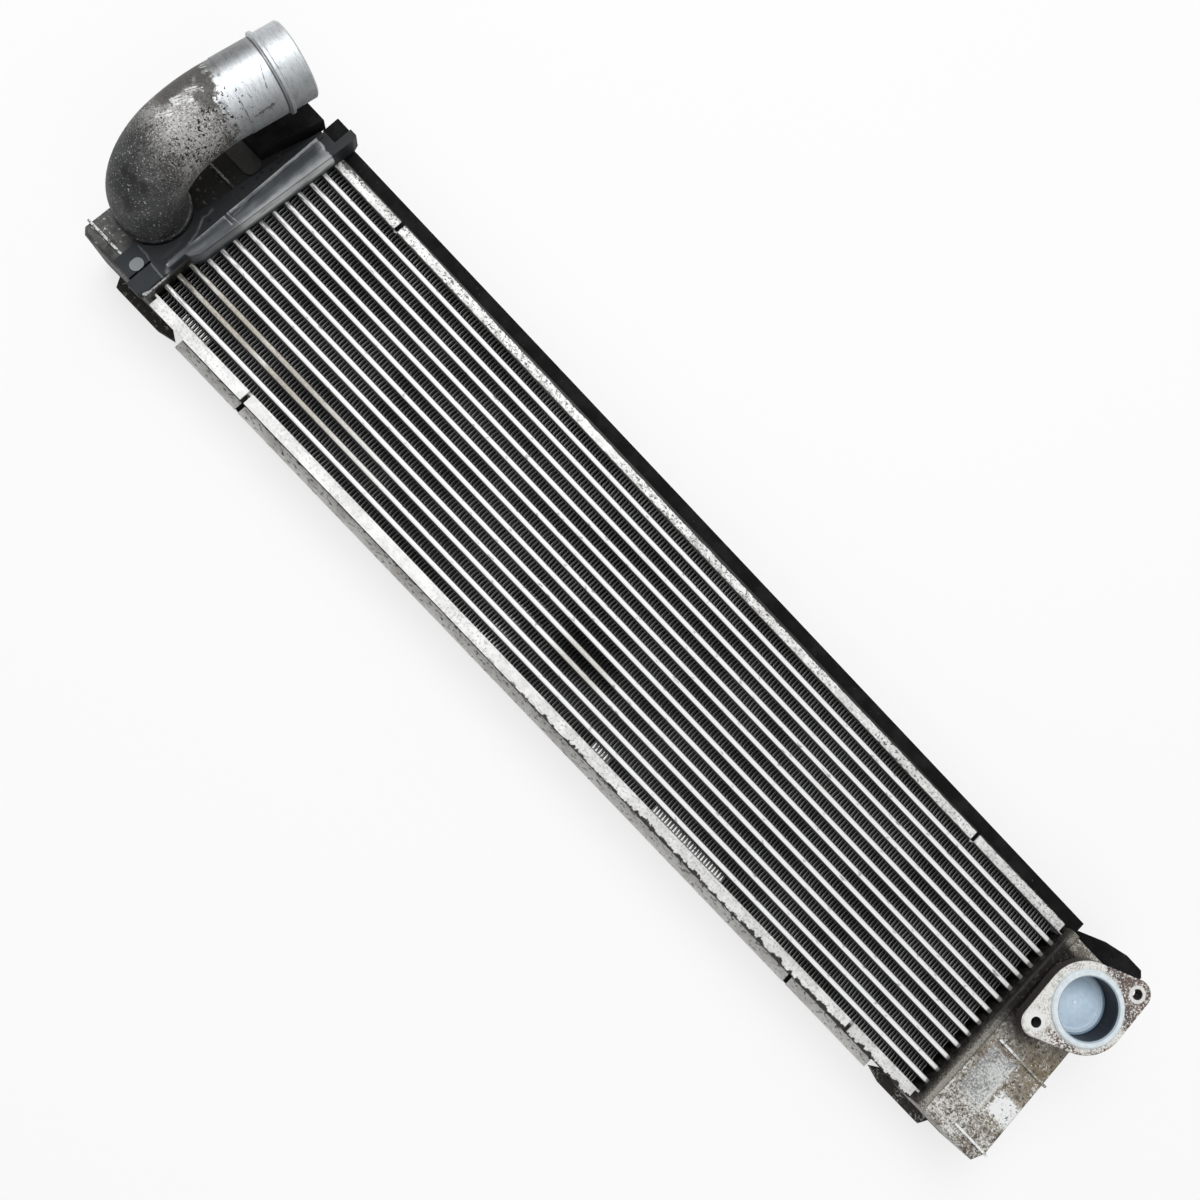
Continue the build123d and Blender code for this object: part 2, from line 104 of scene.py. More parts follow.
light = {
    "key": {"size": 1.8, "power": 50.0, "from": (-0.8, 0.8, 2.4)},
    "fill": {"size": 1.8, "power": 10.0, "from": (1.3, -0.8, 2.0)},
    "world": 0.38,
    "floor": (0.86, 0.86, 0.86),
    "floorGlow": 0.7,
    "floorReach": 6.0,
    "floorGap": 0.0002,  # metres between the floor and the part
}


def makeLamp(name, values):
    data = bpy.data.lights.new(name, "AREA")
    data.size = values["size"]
    data.energy = values["power"]
    lamp = bpy.data.objects.new(name, data)
    bpy.context.scene.collection.objects.link(lamp)
    lamp.location = values["from"]
    lamp.rotation_euler = (-Vector(values["from"])).to_track_quat("-Z", "Y").to_euler()


class Wire:
    # one socket of a material's node tree: arithmetic on it adds Math nodes
    def __init__(self, tree, socket=None):
        self.tree, self.socket = tree, socket

    def node(self, kind, settings=None, values=None, out=0):
        made = self.tree.nodes.new(kind)
        for name, value in (settings or {}).items():
            setattr(made, name, value)
        for name, value in (values or {}).items():
            if isinstance(value, Wire):
                self.tree.links.new(value.socket, made.inputs[name])
            elif value is not None:
                made.inputs[name].default_value = value
        return Wire(self.tree, made.outputs[out])

    def math(self, operation, a, b=None):
        return self.node("ShaderNodeMath", {"operation": operation}, {0: a, 1: b})

    def __add__(self, other):
        return self.math("ADD", self, other)

    def __radd__(self, other):
        return self.math("ADD", other, self)

    def __sub__(self, other):
        return self.math("SUBTRACT", self, other)

    def __rsub__(self, other):
        return self.math("SUBTRACT", other, self)

    def __mul__(self, other):
        return self.math("MULTIPLY", self, other)

    def __rmul__(self, other):
        return self.math("MULTIPLY", other, self)

    def __neg__(self):
        return self.math("MULTIPLY", self, -1.0)

    def absolute(self):
        return self.math("ABSOLUTE", self)

    def clip(self, low=0.0, high=1.0):
        return self.node("ShaderNodeClamp", None, {"Value": self, "Min": low, "Max": high})

    def least(self, other):
        return self.math("MINIMUM", self, other)

    def most(self, other):
        return self.math("MAXIMUM", self, other)

    def reach(self, other):
        # the length of a vector with these two parts
        return self.math("SQRT", self * self + other * other)

    def turns(self, other):
        # the angle in radians of a vector with these two parts
        return self.math("ARCTAN2", other, self)

    def sine(self):
        return self.math("SINE", self)

    def within(self, period):
        # 0 to 1 over each period, again and again
        return self.math("FRACT", self * (1.0 / period))

    def rise(self, low, high):
        # 0 below low, 1 above high, smooth between
        return self.node("ShaderNodeMapRange", {"interpolation_type": "SMOOTHSTEP"},
                         {"Value": self, "From Min": low, "From Max": high})

    def fall(self, low, high):
        # 1 below low, 0 above high, smooth between
        return 1.0 - self.rise(low, high)

    def axis(self, name):
        return self.node("ShaderNodeSeparateXYZ", None, {0: self}, name)

    def noise(self, scale, detail=3.0, rough=0.55, distort=0.0):
        return self.node("ShaderNodeTexNoise", None,
                         {"Vector": self, "Scale": scale, "Detail": detail, "Roughness": rough,
                          "Distortion": distort})

    def blend(self, a, b):
        # colour a where this is 0 or less, colour b where it is 1 or more
        a = a if isinstance(a, Wire) else (*a, 1.0)
        b = b if isinstance(b, Wire) else (*b, 1.0)
        return self.node("ShaderNodeMix", {"data_type": "RGBA"}, {0: self, 6: a, 7: b}, 2)

    def stretch(self, x, y, z):
        return self.node("ShaderNodeVectorMath", {"operation": "MULTIPLY"}, {0: self, 1: (x, y, z)})


def newMaterial(name, roughness=0.5, metallic=0.0, **constants):
    material = bpy.data.materials.new(name)
    material.use_nodes = True
    tree = material.node_tree
    shader = tree.nodes["Principled BSDF"]
    shader.inputs["Roughness"].default_value = roughness
    shader.inputs["Metallic"].default_value = metallic
    for key, value in constants.items():
        shader.inputs[key.replace("_", " ")].default_value = value
    wire = Wire(tree)
    points = wire.node("ShaderNodeTexCoord", out="Object")
    return material, shader, points


def feed(shader, name, wire):
    wire.tree.links.new(wire.socket, shader.inputs[name])


def bump(shader, height, distance, strength):
    values = {"Height": height, "Distance": distance, "Strength": strength}
    feed(shader, "Normal", height.node("ShaderNodeBump", None, values))


def dress(names, material):
    for name in names:
        node = frame["nodes"][name]
        node.data.materials.clear()
        node.data.materials.append(material)


def makeFloor(values):
    material, shader, points = newMaterial("floorPaint", 0.9)
    shader.inputs["Base Color"].default_value = (*values["floor"], 1.0)
    tree = material.node_tree
    output = tree.nodes["Material Output"]
    glow = points.node("ShaderNodeEmission", None, {"Color": (1.0, 1.0, 1.0, 1.0), "Strength": 1.0})
    paths = points.node("ShaderNodeLightPath", out="Is Camera Ray")
    mixed = points.node("ShaderNodeMixShader", None, {0: paths * values["floorGlow"], 2: glow})
    tree.links.new(shader.outputs[0], mixed.socket.node.inputs[1])
    tree.links.new(mixed.socket, output.inputs["Surface"])
    reach = values["floorReach"]
    corners = [(-reach, -reach, 0), (reach, -reach, 0), (reach, reach, 0), (-reach, reach, 0)]
    mesh = bpy.data.meshes.new("floor")
    mesh.from_pydata(corners, [], [(0, 1, 2, 3)])
    mesh.materials.append(material)
    floor = bpy.data.objects.new("floor", mesh)
    bpy.context.scene.collection.objects.link(floor)
    floor.location.z = cadLow.z - values["floorGap"]


def makeWorld(values):
    world = bpy.data.worlds.new("studio")
    world.use_nodes = True
    world.node_tree.nodes["Background"].inputs["Color"].default_value = (1.0, 1.0, 1.0, 1.0)
    world.node_tree.nodes["Background"].inputs["Strength"].default_value = values["world"]
    bpy.context.scene.world = world


bpy.context.scene.view_settings.view_transform = "Standard"
makeCamera(view)
makeFloor(light)
makeWorld(light)
makeLamp("keyLamp", light["key"])
makeLamp("fillLamp", light["fill"])
print("stage ready")


# Meshes from numpy arrays

def meshPiece(name, points, faces, material, replaced=()):
    mesh = bpy.data.meshes.new(name)
    points = np.asarray(points, dtype=np.float32).reshape(-1, 3)
    faces = np.asarray(faces, dtype=np.int32)
    mesh.vertices.add(len(points))
    mesh.vertices.foreach_set("co", points.ravel())
    count, sides = faces.shape
    mesh.loops.add(count * sides)
    mesh.loops.foreach_set("vertex_index", faces.ravel())
    mesh.polygons.add(count)
    mesh.polygons.foreach_set("loop_start", np.arange(0, count * sides, sides, dtype=np.int32))
    mesh.polygons.foreach_set("use_smooth", np.full(count, False))
    mesh.update(calc_edges=True)
    mesh.validate()
    mesh.materials.append(material)
    piece = bpy.data.objects.new(name, mesh)
    bpy.context.scene.collection.objects.link(piece)
    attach(piece, "root")
    if replaced:
        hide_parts(*replaced)
    return piece


def gridFaces(rows, columns):
    # quads of a grid of points, row by row, whose last row joins the first
    i = np.arange(rows)[:, None]
    j = np.arange(columns - 1)[None, :]
    nextI, nextJ = (i + 1) % rows, j + 1
    corners = [i * columns + j, nextI * columns + j, nextI * columns + nextJ, i * columns + nextJ]
    return np.stack([np.broadcast_to(c, (len(i), j.shape[1])) for c in corners], axis=-1).reshape(-1, 4)


def ripple(x, seed, lengths, amount):
    # a smooth uneven curve: sines of the given wavelengths with seeded phases and sizes
    rng = np.random.default_rng(seed)
    total = np.zeros_like(x)
    for length in lengths:
        total += rng.uniform(0.5, 1.0) * np.sin(2 * np.pi * x / length + rng.uniform(0, 2 * np.pi))
    return amount * total / len(lengths)


# Materials read the object's own coordinates, in millimetres from the core's centre and front plane.
# In the dictionaries, a place or reach of two numbers is where an edge starts and where it is
# complete, and one of three is a zone's two sides and their softness, unless a note says otherwise.

def milli(p):
    return ((p.axis("X") - coreX) * 1000.0, (p.axis("Y") - coreY) * 1000.0, (p.axis("Z") - frontZ) * 1000.0)


def mountPlace(name):
    mount = next(m for m in frame["record"]["mounts"] if m["name"] == name)
    return Vector(mount["pos_m"]), Vector(mount["axis"])


def inside(value, low, high, soft):
    # 1 between two values, falling off over the soft width
    return value.rise(low - soft / 2, low + soft / 2) * value.fall(high - soft / 2, high + soft / 2)


def fromLine(x, y, points):
    # the distance in plan from a line through these points
    nearest = None
    for (startX, startY), (endX, endY) in zip(points, points[1:]):
        length = math.hypot(endX - startX, endY - startY)
        alongX, alongY = (endX - startX) / length, (endY - startY) / length
        run = ((x - startX) * alongX + (y - startY) * alongY).clip(0.0, length)
        distance = (x - startX - run * alongX).reach(y - startY - run * alongY)
        nearest = distance if nearest is None else nearest.least(distance)
    return nearest


tubeLook = {
    "white": (0.84, 0.84, 0.83),
    "bright": (0.93, 0.93, 0.92),
    "beige": (0.30, 0.27, 0.22),
    "paleBeige": (0.60, 0.57, 0.49),
    # painted shade on the tubes' sides below the bright nose
    "paintedShade": (0.02, 0.02, 0.021),
    "nose": 0.95,  # millimetres of the tube's nose that stay bright
    "fleck": (0.24, 0.23, 0.22),
    # the colour of the tubes' ends: soot and painted shade
    "grime": (0.10, 0.10, 0.095),
    "cornerX": (-300.0, -150.0),  # the lower tubes are beige towards the inlet
    "cornerY": (-64.0, -42.0, 8.0),
    "stainX": (-12.0, 34.0, 24.0),  # a beige stain on a few tubes, across from a dark smear on the fins
    "stainY": (-55.0, -29.0, 6.0),
    "leftSootAndShade": (-387.0, 0.045),  # where the soot and painted shade at either end start, and their slant
    "rightSootAndShade": (395.4, -0.018),
}


def tubeMaterial(look):
    material, shader, p = newMaterial("tubeOxide", 0.45, 0.25)
    x, y, z = milli(p)
    grain = p.noise(800.0, 3.0, 0.6)
    patch = p.stretch(1.0, 2.5, 1.0).noise(18.0, 4.0, 0.6)
    fleck = p.stretch(0.5, 1.0, 1.0).noise(240.0, 3.0, 0.7)
    # below the nose's top, the tube's sides take the painted shade colour
    front = z.rise(-look["nose"], -look["nose"] * 0.35)
    corner = x.fall(*look["cornerX"]) * inside(y, *look["cornerY"])
    spot = inside(x + patch * 20.0, *look["stainX"]) * inside(y, *look["stainY"])
    dirt = (corner * patch.rise(0.26, 0.50) + patch.rise(0.6, 0.8) * 0.2 + spot * 0.6).clip()
    # soot and painted shade creep out of both corners: streaks at the deflector, a ragged edge at the
    # outlet's rim
    streak = p.stretch(0.25, 1.6, 1.0).noise(330.0, 4.0, 0.7)
    start, slant = look["leftSootAndShade"]
    leftSootAndShade = (x - start - y * slant).fall(0.0, 20.0) * streak.rise(0.44, 0.56)
    start, slant = look["rightSootAndShade"]
    rightSootAndShade = (x - start - y * slant + (fleck - 0.5) * 5.0).rise(-0.8, 0.8)
    ends = (leftSootAndShade + rightSootAndShade).clip()
    white = grain.rise(0.2, 0.8).blend(look["white"], look["bright"])
    beige = grain.rise(0.3, 0.75).blend(look["beige"], look["paleBeige"])
    nose = (dirt * 0.9).blend(white, beige)
    nose = (fleck.rise(0.62, 0.68) * 0.75).blend(nose, look["fleck"])
    nose = (ends * 0.85).blend(nose, look["grime"])
    feed(shader, "Base Color", front.blend(look["paintedShade"], nose))
    feed(shader, "Roughness", 0.4 + dirt * 0.3)
    bump(shader, grain, 0.00008, 0.5)
    return material


finLook = {
    "legPitch": 1.46,  # millimetres from leg to leg
    "edge": (0.44, 0.44, 0.445),
    "paleEdge": (0.64, 0.645, 0.65),
    "dullEdge": (0.21, 0.21, 0.21),
    "dim": 0.80,  # how much darker the legs are that lean away from the light
    "crest": (0.27, 0.33),  # where a lower crest ends, in parts of the row pitch
    # painted shade on the fins below their front edges, also the colour of the oily smear
    "shadeAndSmear": (0.002, 0.002, 0.0022),
    "bent": (0.86, 0.86, 0.85),
    "edgeZ": (-1.82, -1.6),
    "rowPitch": 11.57,
    "smear": (2.0, -36.0),  # the middle of an oily dark smear
    "smearReach": (4.0, 50.0),
    "bentRow": (-77.8, -73.0, 1.0),  # the row whose tips were knocked over, and where
    "bentZ": (-3.1, -2.6),
    "bentTooth": (0.20, 0.70, 0.06),  # in parts of two leg pitches
    "bentPlaces": ((-376.0, -350.0), (48.0, 64.0), (113.0, 185.0)),
}


def finMaterial(look):
    material, shader, p = newMaterial("finAlloy", 0.7, 0.0, Specular_IOR_Level=0.03)
    x, y, z = milli(p)
    grain = p.noise(500.0, 2.0, 0.5)
    broad = p.noise(20.0, 4.0, 0.65)
    edge = z.rise(*look["edgeZ"])
    worn = broad.rise(0.38, 0.62).blend(look["dullEdge"], look["edge"])
    worn = (grain.rise(0.55, 0.75) * 0.6).blend(worn, look["paleEdge"])
    # painted light and shade: one leg of each pair and the lower crests are painted lighter, the other legs
    # and the upper half of each row darker
    start = (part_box("fin_row_01")[0].x - coreX) / mm
    pair = (x - start).within(2.0 * look["legPitch"])
    upRow = y.within(look["rowPitch"])
    away = pair.fall(0.45, 0.55) * look["dim"]
    worn = away.blend(worn, look["shadeAndSmear"])
    worn = (upRow.rise(0.35, 0.78) * 0.6).blend(worn, look["shadeAndSmear"])
    worn = (upRow.fall(*look["crest"]) * 0.5).blend(worn, look["edge"])
    smearX, smearY = look["smear"]
    smear = (x - smearX).reach((y - smearY) * 2.2) + (broad - 0.5) * 60.0
    worn = (smear.fall(*look["smearReach"]) * 0.75).blend(worn, look["shadeAndSmear"])
    # below the front edge, the fins take the painted shade colour
    colour = edge.blend(look["shadeAndSmear"], worn)
    row = inside(y, *look["bentRow"]) * z.rise(*look["bentZ"])
    places = [inside(x, low, high, 3.0) for low, high in look["bentPlaces"]]
    tooth = inside(pair, *look["bentTooth"])
    bent = row * (places[0] + places[1] + places[2]) * tooth * grain.rise(0.30, 0.42)
    feed(shader, "Base Color", bent.blend(colour, look["bent"]))
    return material


tubeAlloy = tubeMaterial(tubeLook)
finAlloy = finMaterial(finLook)

fin = {
    "legPitch": finLook["legPitch"],
    "sheet": 0.30,
    "pairing": 0.24,  # how far legs that share a lower crest stand closer together
    "crestSteps": 3,
    "jitter": 0.09,
    "sway": 0.25,  # how far the crests wander along the row
    "swayLengths": (37.0, 61.0, 113.0),
    "bend": 0.30,  # how far front edges are pushed over in the worst places
    "bendLengths": (9.0, 23.0, 57.0),
    "tip": 1.3,  # depth of the bent edge
    "knocked": 0.9,  # how far every second tip is knocked over in the worst places
    "slant": -0.16,  # how much farther over it is, for each millimetre up the row
    "louvre": 3.2,  # depth that one louvre blade covers
    "seeds": (500, 40, 80),  # for the legs' places, the sway and the bend
}


def finRow(index, values):
    # A serpentine sheet: straight legs joined by half-round crests, offset to both sides by half the
    # sheet, carried through the core's depth. The front edge is pushed over by seeded noise.
    low, high = (np.array(c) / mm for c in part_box(f"fin_row_{index:02d}"))
    legSeed, swaySeed, bendSeed = (seed + index for seed in values["seeds"])
    rng = np.random.default_rng(legSeed)
    pitch = values["legPitch"]
    legs = int((high[0] - low[0]) / pitch)
    radius = pitch / 2
    middle = (low[1] + high[1]) / 2
    straight = (high[1] - low[1]) / 2 - radius - values["sheet"] / 2
    way = np.where(np.arange(legs) % 2 == 0, 1.0, -1.0)
    paired = way[0] * values["pairing"] * (-1.0) ** np.arange(legs + 1)
    legX = low[0] + pitch * (np.arange(legs + 1) + 0.5) - paired
    steps = values["crestSteps"]
    angle = np.pi * (1.0 - np.arange(1, steps + 1) / (steps + 1))
    crestMiddle, crestReach = (legX[1:, None] + legX[:-1, None]) / 2, (legX[1:, None] - legX[:-1, None]) / 2
    legX = legX[:-1]
    px = np.concatenate([legX[:, None], legX[:, None], crestMiddle + crestReach * np.cos(angle)], axis=1)
    crestY = way[:, None] * (straight + radius * np.sin(angle))
    py = np.concatenate([-way[:, None] * straight, way[:, None] * straight, crestY], axis=1)
    nx = np.concatenate([-way[:, None], -way[:, None], way[:, None] * np.cos(angle)], axis=1)
    ny = np.concatenate([0 * way[:, None], 0 * way[:, None], np.tile(np.sin(angle), (legs, 1))], axis=1)
    px, py, nx, ny = (a.ravel() for a in (px, py, nx, ny))
    px = px + np.repeat(rng.normal(0, values["jitter"], legs), steps + 2) * (1 - 0.6 * np.abs(py) / straight)
    px = px + ripple(px, swaySeed, values["swayLengths"], values["sway"]) * py / straight
    lean = ripple(px, bendSeed, values["bendLengths"], values["bend"]) ** 3 / values["bend"] ** 2
    lean = lean * 3.0 * (1 - np.abs(py) / (straight + radius))
    if index == 1:
        second = np.repeat(np.arange(legs) % 2 == 0, steps + 2)
        for first, last in finLook["bentPlaces"]:
            knocked = (px > coreX / mm + first) & (px < coreX / mm + last) & second
            lean = np.where(knocked, values["knocked"] + values["slant"] * py, lean)
    half = values["sheet"] / 2
    back, tip, front = low[2], high[2] - values["tip"], high[2]
    rows = []
    ring = [(1, back, 0), (1, tip, 0), (1, front, 1), (-1, front, 1), (-1, tip, 0), (-1, back, 0)]
    for side, z, push in ring:
        rowX = px + side * half * nx + push * lean
        rows.append(np.stack([rowX, middle + py + side * half * ny, np.full_like(px, z)], axis=1))
    points = np.concatenate(rows) * mm
    count = len(px)
    faces = gridFaces(len(rows), count)
    ends = np.array([[0, 1, 4, 5], [1, 2, 3, 4]]) * count
    faces = np.concatenate([faces, ends, (ends + count - 1)[:, ::-1]])
    # louvre blades slant across each gap, so that no light falls straight through
    bladeX = legX[:-1, None] + np.array([0.0, pitch, pitch, 0.0])
    bladeY = np.broadcast_to(np.array([-1.0, -1.0, 1.0, 1.0]) * straight + middle, bladeX.shape)
    bladeRise = np.array([-0.5, 0.5, 0.5, -0.5]) * values["louvre"]
    bladeZ = np.broadcast_to((back + front) / 2 + bladeRise, bladeX.shape)
    blades = np.stack([bladeX, bladeY, bladeZ], axis=-1).reshape(-1, 3) * mm
    bladeFaces = np.arange(len(blades)).reshape(-1, 4) + len(points)
    allPoints, allFaces = np.concatenate([points, blades]), np.concatenate([faces, bladeFaces])
    return meshPiece(f"fins_{index:02d}", allPoints, allFaces, finAlloy,
                     replaced=(f"fin_row_{index:02d}",))


for index in range(1, 15):
    finRow(index, fin)
print("fins ready")

dress([n for n in frame["nodes"] if n.startswith("tube_")], tubeAlloy)
dress([n for n in frame["nodes"] if n.startswith("turbulator_")], finAlloy)

sideLook = {
    "pale": (0.82, 0.82, 0.81),
    "dull": (0.66, 0.66, 0.65),
    "stain": (0.42, 0.415, 0.40),
    "fleck": (0.06, 0.06, 0.058),
    "glue": (0.014, 0.014, 0.015),
    "rail": (0.93, 0.92, 0.90),
    "railDull": (0.74, 0.72, 0.69),
    "railSpeck": (0.05, 0.047, 0.043),
    # painted shade inside the side plate's channel and under its flanges
    "channel": (0.03, 0.028, 0.026),
    "halfLength": 398.6,
    "flangeY": 83.4,  # the middle of the front flanges
    "glueZ": (-3.0, -1.0),
    "cleanX": (120.0, 300.0),  # beyond this the upper flange is cleaner
    "cornerX": (-372.0, -300.0),  # the upper flange's dirty corner, and its sooty end
    "cornerY": (82.0, 86.0),
    "sootyX": (-378.0, -352.0),
    "foamY": 86.9,  # the foam's edge on the upper flange, and how far it moves in at mid-length
    "foamBow": 1.5,
    # where the painted shade strip along the upper flange's inner edge ends
    "shadeY": 79.4,
    "tornY": 87.6,  # the torn foam's edge on the lower flange, and how far it moves in along it
    "tornX": (-150.0, 330.0),
    "tornStep": 1.8,
    "tornFrom": (-70.0, 40.0),
    # the front flange's painted shadow covers the rail inside this
    "flangeShadowY": 86.2,
    "railZ": (-20.0, -10.0),
    "channelY": (80.0, 80.6),
    "channelTop": (-2.6, -1.8),
    "channelFloor": (-48.2, -47.6),
    "underY": (85.2, 85.8),
    "underZ": (-49.8, -49.2),
}


def sideMaterial(name, look, torn):
    material, shader, p = newMaterial(name, 0.5, 0.2)
    x, y, z = milli(p)
    fine = p.noise(700.0, 3.0, 0.6)
    blotch = p.noise(60.0, 5.0, 0.65)
    cloud = p.noise(9.0, 2.0, 0.5)
    fleck = p.noise(480.0, 4.0, 0.75)
    colour = blotch.rise(0.35, 0.62).blend(look["pale"], look["dull"])
    edges = (y.absolute() - look["flangeY"]).absolute().rise(1.2, 3.6)
    heavy = 0.3 if torn else 1.3 - x.rise(*look["cleanX"]) * 0.75
    corner = x.fall(*look["cornerX"]) * y.rise(*look["cornerY"])
    grey = (p.noise(230.0, 5.0, 0.8) + edges * 0.08 + corner * 0.10).rise(0.50, 0.60)
    grey = grey * (0.25 + cloud.rise(0.40, 0.60) * 0.8 + corner)
    colour = (grey * heavy * 0.8).blend(colour, look["stain"])
    spots = (fleck + corner * 0.04 + corner * x.fall(*look["sootyX"]) * 0.06).rise(0.55, 0.59)
    spots = spots * (0.25 + cloud.rise(0.40, 0.56) + corner) * heavy
    colour = spots.blend(colour, look["fleck"])
    jag = (p.stretch(1.0, 0.4, 1.0).noise(150.0, 5.0, 0.75) - 0.5) * 14.0
    if torn:
        # what is left of a torn foam strip hangs over the flange's outer edge
        edge = -y - look["tornY"] + jag + x.rise(*look["tornX"]) * look["tornStep"]
        glue = edge.rise(0.0, 0.4) * (x + fleck * 60.0).rise(*look["tornFrom"])
        old = blotch.rise(0.42, 0.66).blend(look["rail"], look["railDull"])
        speck = p.stretch(0.5, 1.4, 1.0).noise(420.0, 5.0, 0.8)
        old = (speck + (y + 90.0) * 0.006).rise(0.56, 0.59).blend(old, look["railSpeck"])
        # the front flange's shadow on the rail is painted in the channel colour
        flangeShadow = (-y - look["flangeShadowY"] + (fleck - 0.5) * 2.0).rise(-0.4, 0.4)
        old = flangeShadow.blend(look["channel"], old)
        colour = z.fall(*look["railZ"]).blend(colour, old)
    else:
        # the foam strip's ragged edge lies over the flange, most at mid-length, with a strip of painted shade
        # along the flange's inside edge
        bow = x * (1.0 / look["halfLength"])
        glue = (y - look["foamY"] + (1.0 - bow * bow) * look["foamBow"] + jag * 0.16).rise(0.0, 0.3)
        glue = glue.most((y - look["shadeY"] + jag * 0.12).fall(-0.3, 0.3))
    colour = (glue * z.rise(*look["glueZ"])).blend(colour, look["glue"])
    # painted shade inside the channel and under the flange's edge
    under = z.rise(*look["channelFloor"]) + y.absolute().fall(*look["underY"]) * z.rise(*look["underZ"])
    channel = y.absolute().rise(*look["channelY"]) * under * z.fall(*look["channelTop"])
    feed(shader, "Base Color", channel.blend(colour, look["channel"]))
    bump(shader, fine + blotch, 0.00015, 0.4)
    return material


dress(["side_plate_upper"], sideMaterial("upperSideSheet", sideLook, False))
dress(["side_plate_lower"], sideMaterial("lowerSideSheet", sideLook, True))


def speckles(p, scale, low, high, spread):
    # small spots, thick in some places and absent in others
    return (p.noise(scale, 4.0, 0.7).rise(low, high) * p.noise(spread, 2.0, 0.5).rise(0.42, 0.58)).clip()


outletLook = {
    "brown": (0.21, 0.175, 0.135),
    "grey": (0.41, 0.385, 0.34),
    "tan": (0.235, 0.19, 0.12),
    "oxide": (0.74, 0.74, 0.72),
    "whiteOxide": (0.86, 0.87, 0.87),
    "pit": (0.05, 0.045, 0.04),
    "stain": (0.40, 0.40, 0.36),
    # the rim's core side is painted shade, and its ridge has pale spots and a painted highlight
    "rim": (0.030, 0.027, 0.022),
    "rimSpotAndHighlight": (0.34, 0.325, 0.29),
    "lug": (0.030, 0.027, 0.024),
    "lugSpeck": (0.42, 0.41, 0.39),
    "plate": (0.24, 0.245, 0.24),
    "plateOxide": (0.70, 0.72, 0.72),
    "face": (0.62, 0.61, 0.57),
    "rust": (0.038, 0.020, 0.016),
    "rustPale": (0.12, 0.062, 0.045),
    # the neck's shaded left side and lit right side are painted, and so is the shade in the corner by the rim
    "neck": (0.035, 0.030, 0.026),
    "paintedShade": (0.012, 0.010, 0.008),
    "neckLit": (0.30, 0.28, 0.25),
    "facePale": (0.86, 0.855, 0.83),
    "faceSpeck": (0.20, 0.165, 0.13),
    "ring": (0.82, 0.83, 0.82),
    "bore": (0.06, 0.058, 0.055),
    "topZ": (4.0, 5.0),
    "tanX": (425.0, 445.0),
    "tanY": (-60.0, 12.0, 24.0),
    "bloomY": (-50.0, -20.0),  # oxide blooms on the lower end, but for a brown patch
    "bareX": (440.0, 450.0),
    "bareY": (-64.0, -50.0, 8.0),
    "dropsY": (-30.0, 22.0, 12.0),
    "plateX": (413.5, 437.5, 2.0),
    "plateY": (-56.0, -15.0, 2.0),
    "scoredX": (435.6, 437.2, 0.8),
    "scoredY": (-56.0, -16.0, 2.0),
    "patchX": (441.0, 470.0, 3.0),
    "patchY": (-53.0, -35.0, 3.0),
    "rimX": (406.6, 408.0),
    "ridgeX": (401.0, 406.4, 3.0),
    "rimGroove": (406.6, 408.2, 0.8),
    # the corner of painted shade between the rim and the port's neck
    "shadeX": (430.0, 444.0),
    "shadeY": (-80.0, 76.0, 6.0),
    "ribX": (408.0, 409.0),
    "ribZ": (7.0, 7.4),
    "ribTopZ": (8.4, 9.0),
    "lowRibY": (-60.0, -50.0),
    "ribPaleX": (436.0, 448.0),
    "neckZ": (8.6, 11.0),
    "earWay": (0.53, 0.85),  # the direction from the port's middle to its upper ear
    "holeReach": 40.5,
    "ringReach": (4.0, 6.6, 0.8),
    "holeEdge": (3.9, 4.1),
    "lugZ": (-46.0, -40.0),
    "lugY": (-86.0, -84.0),
}


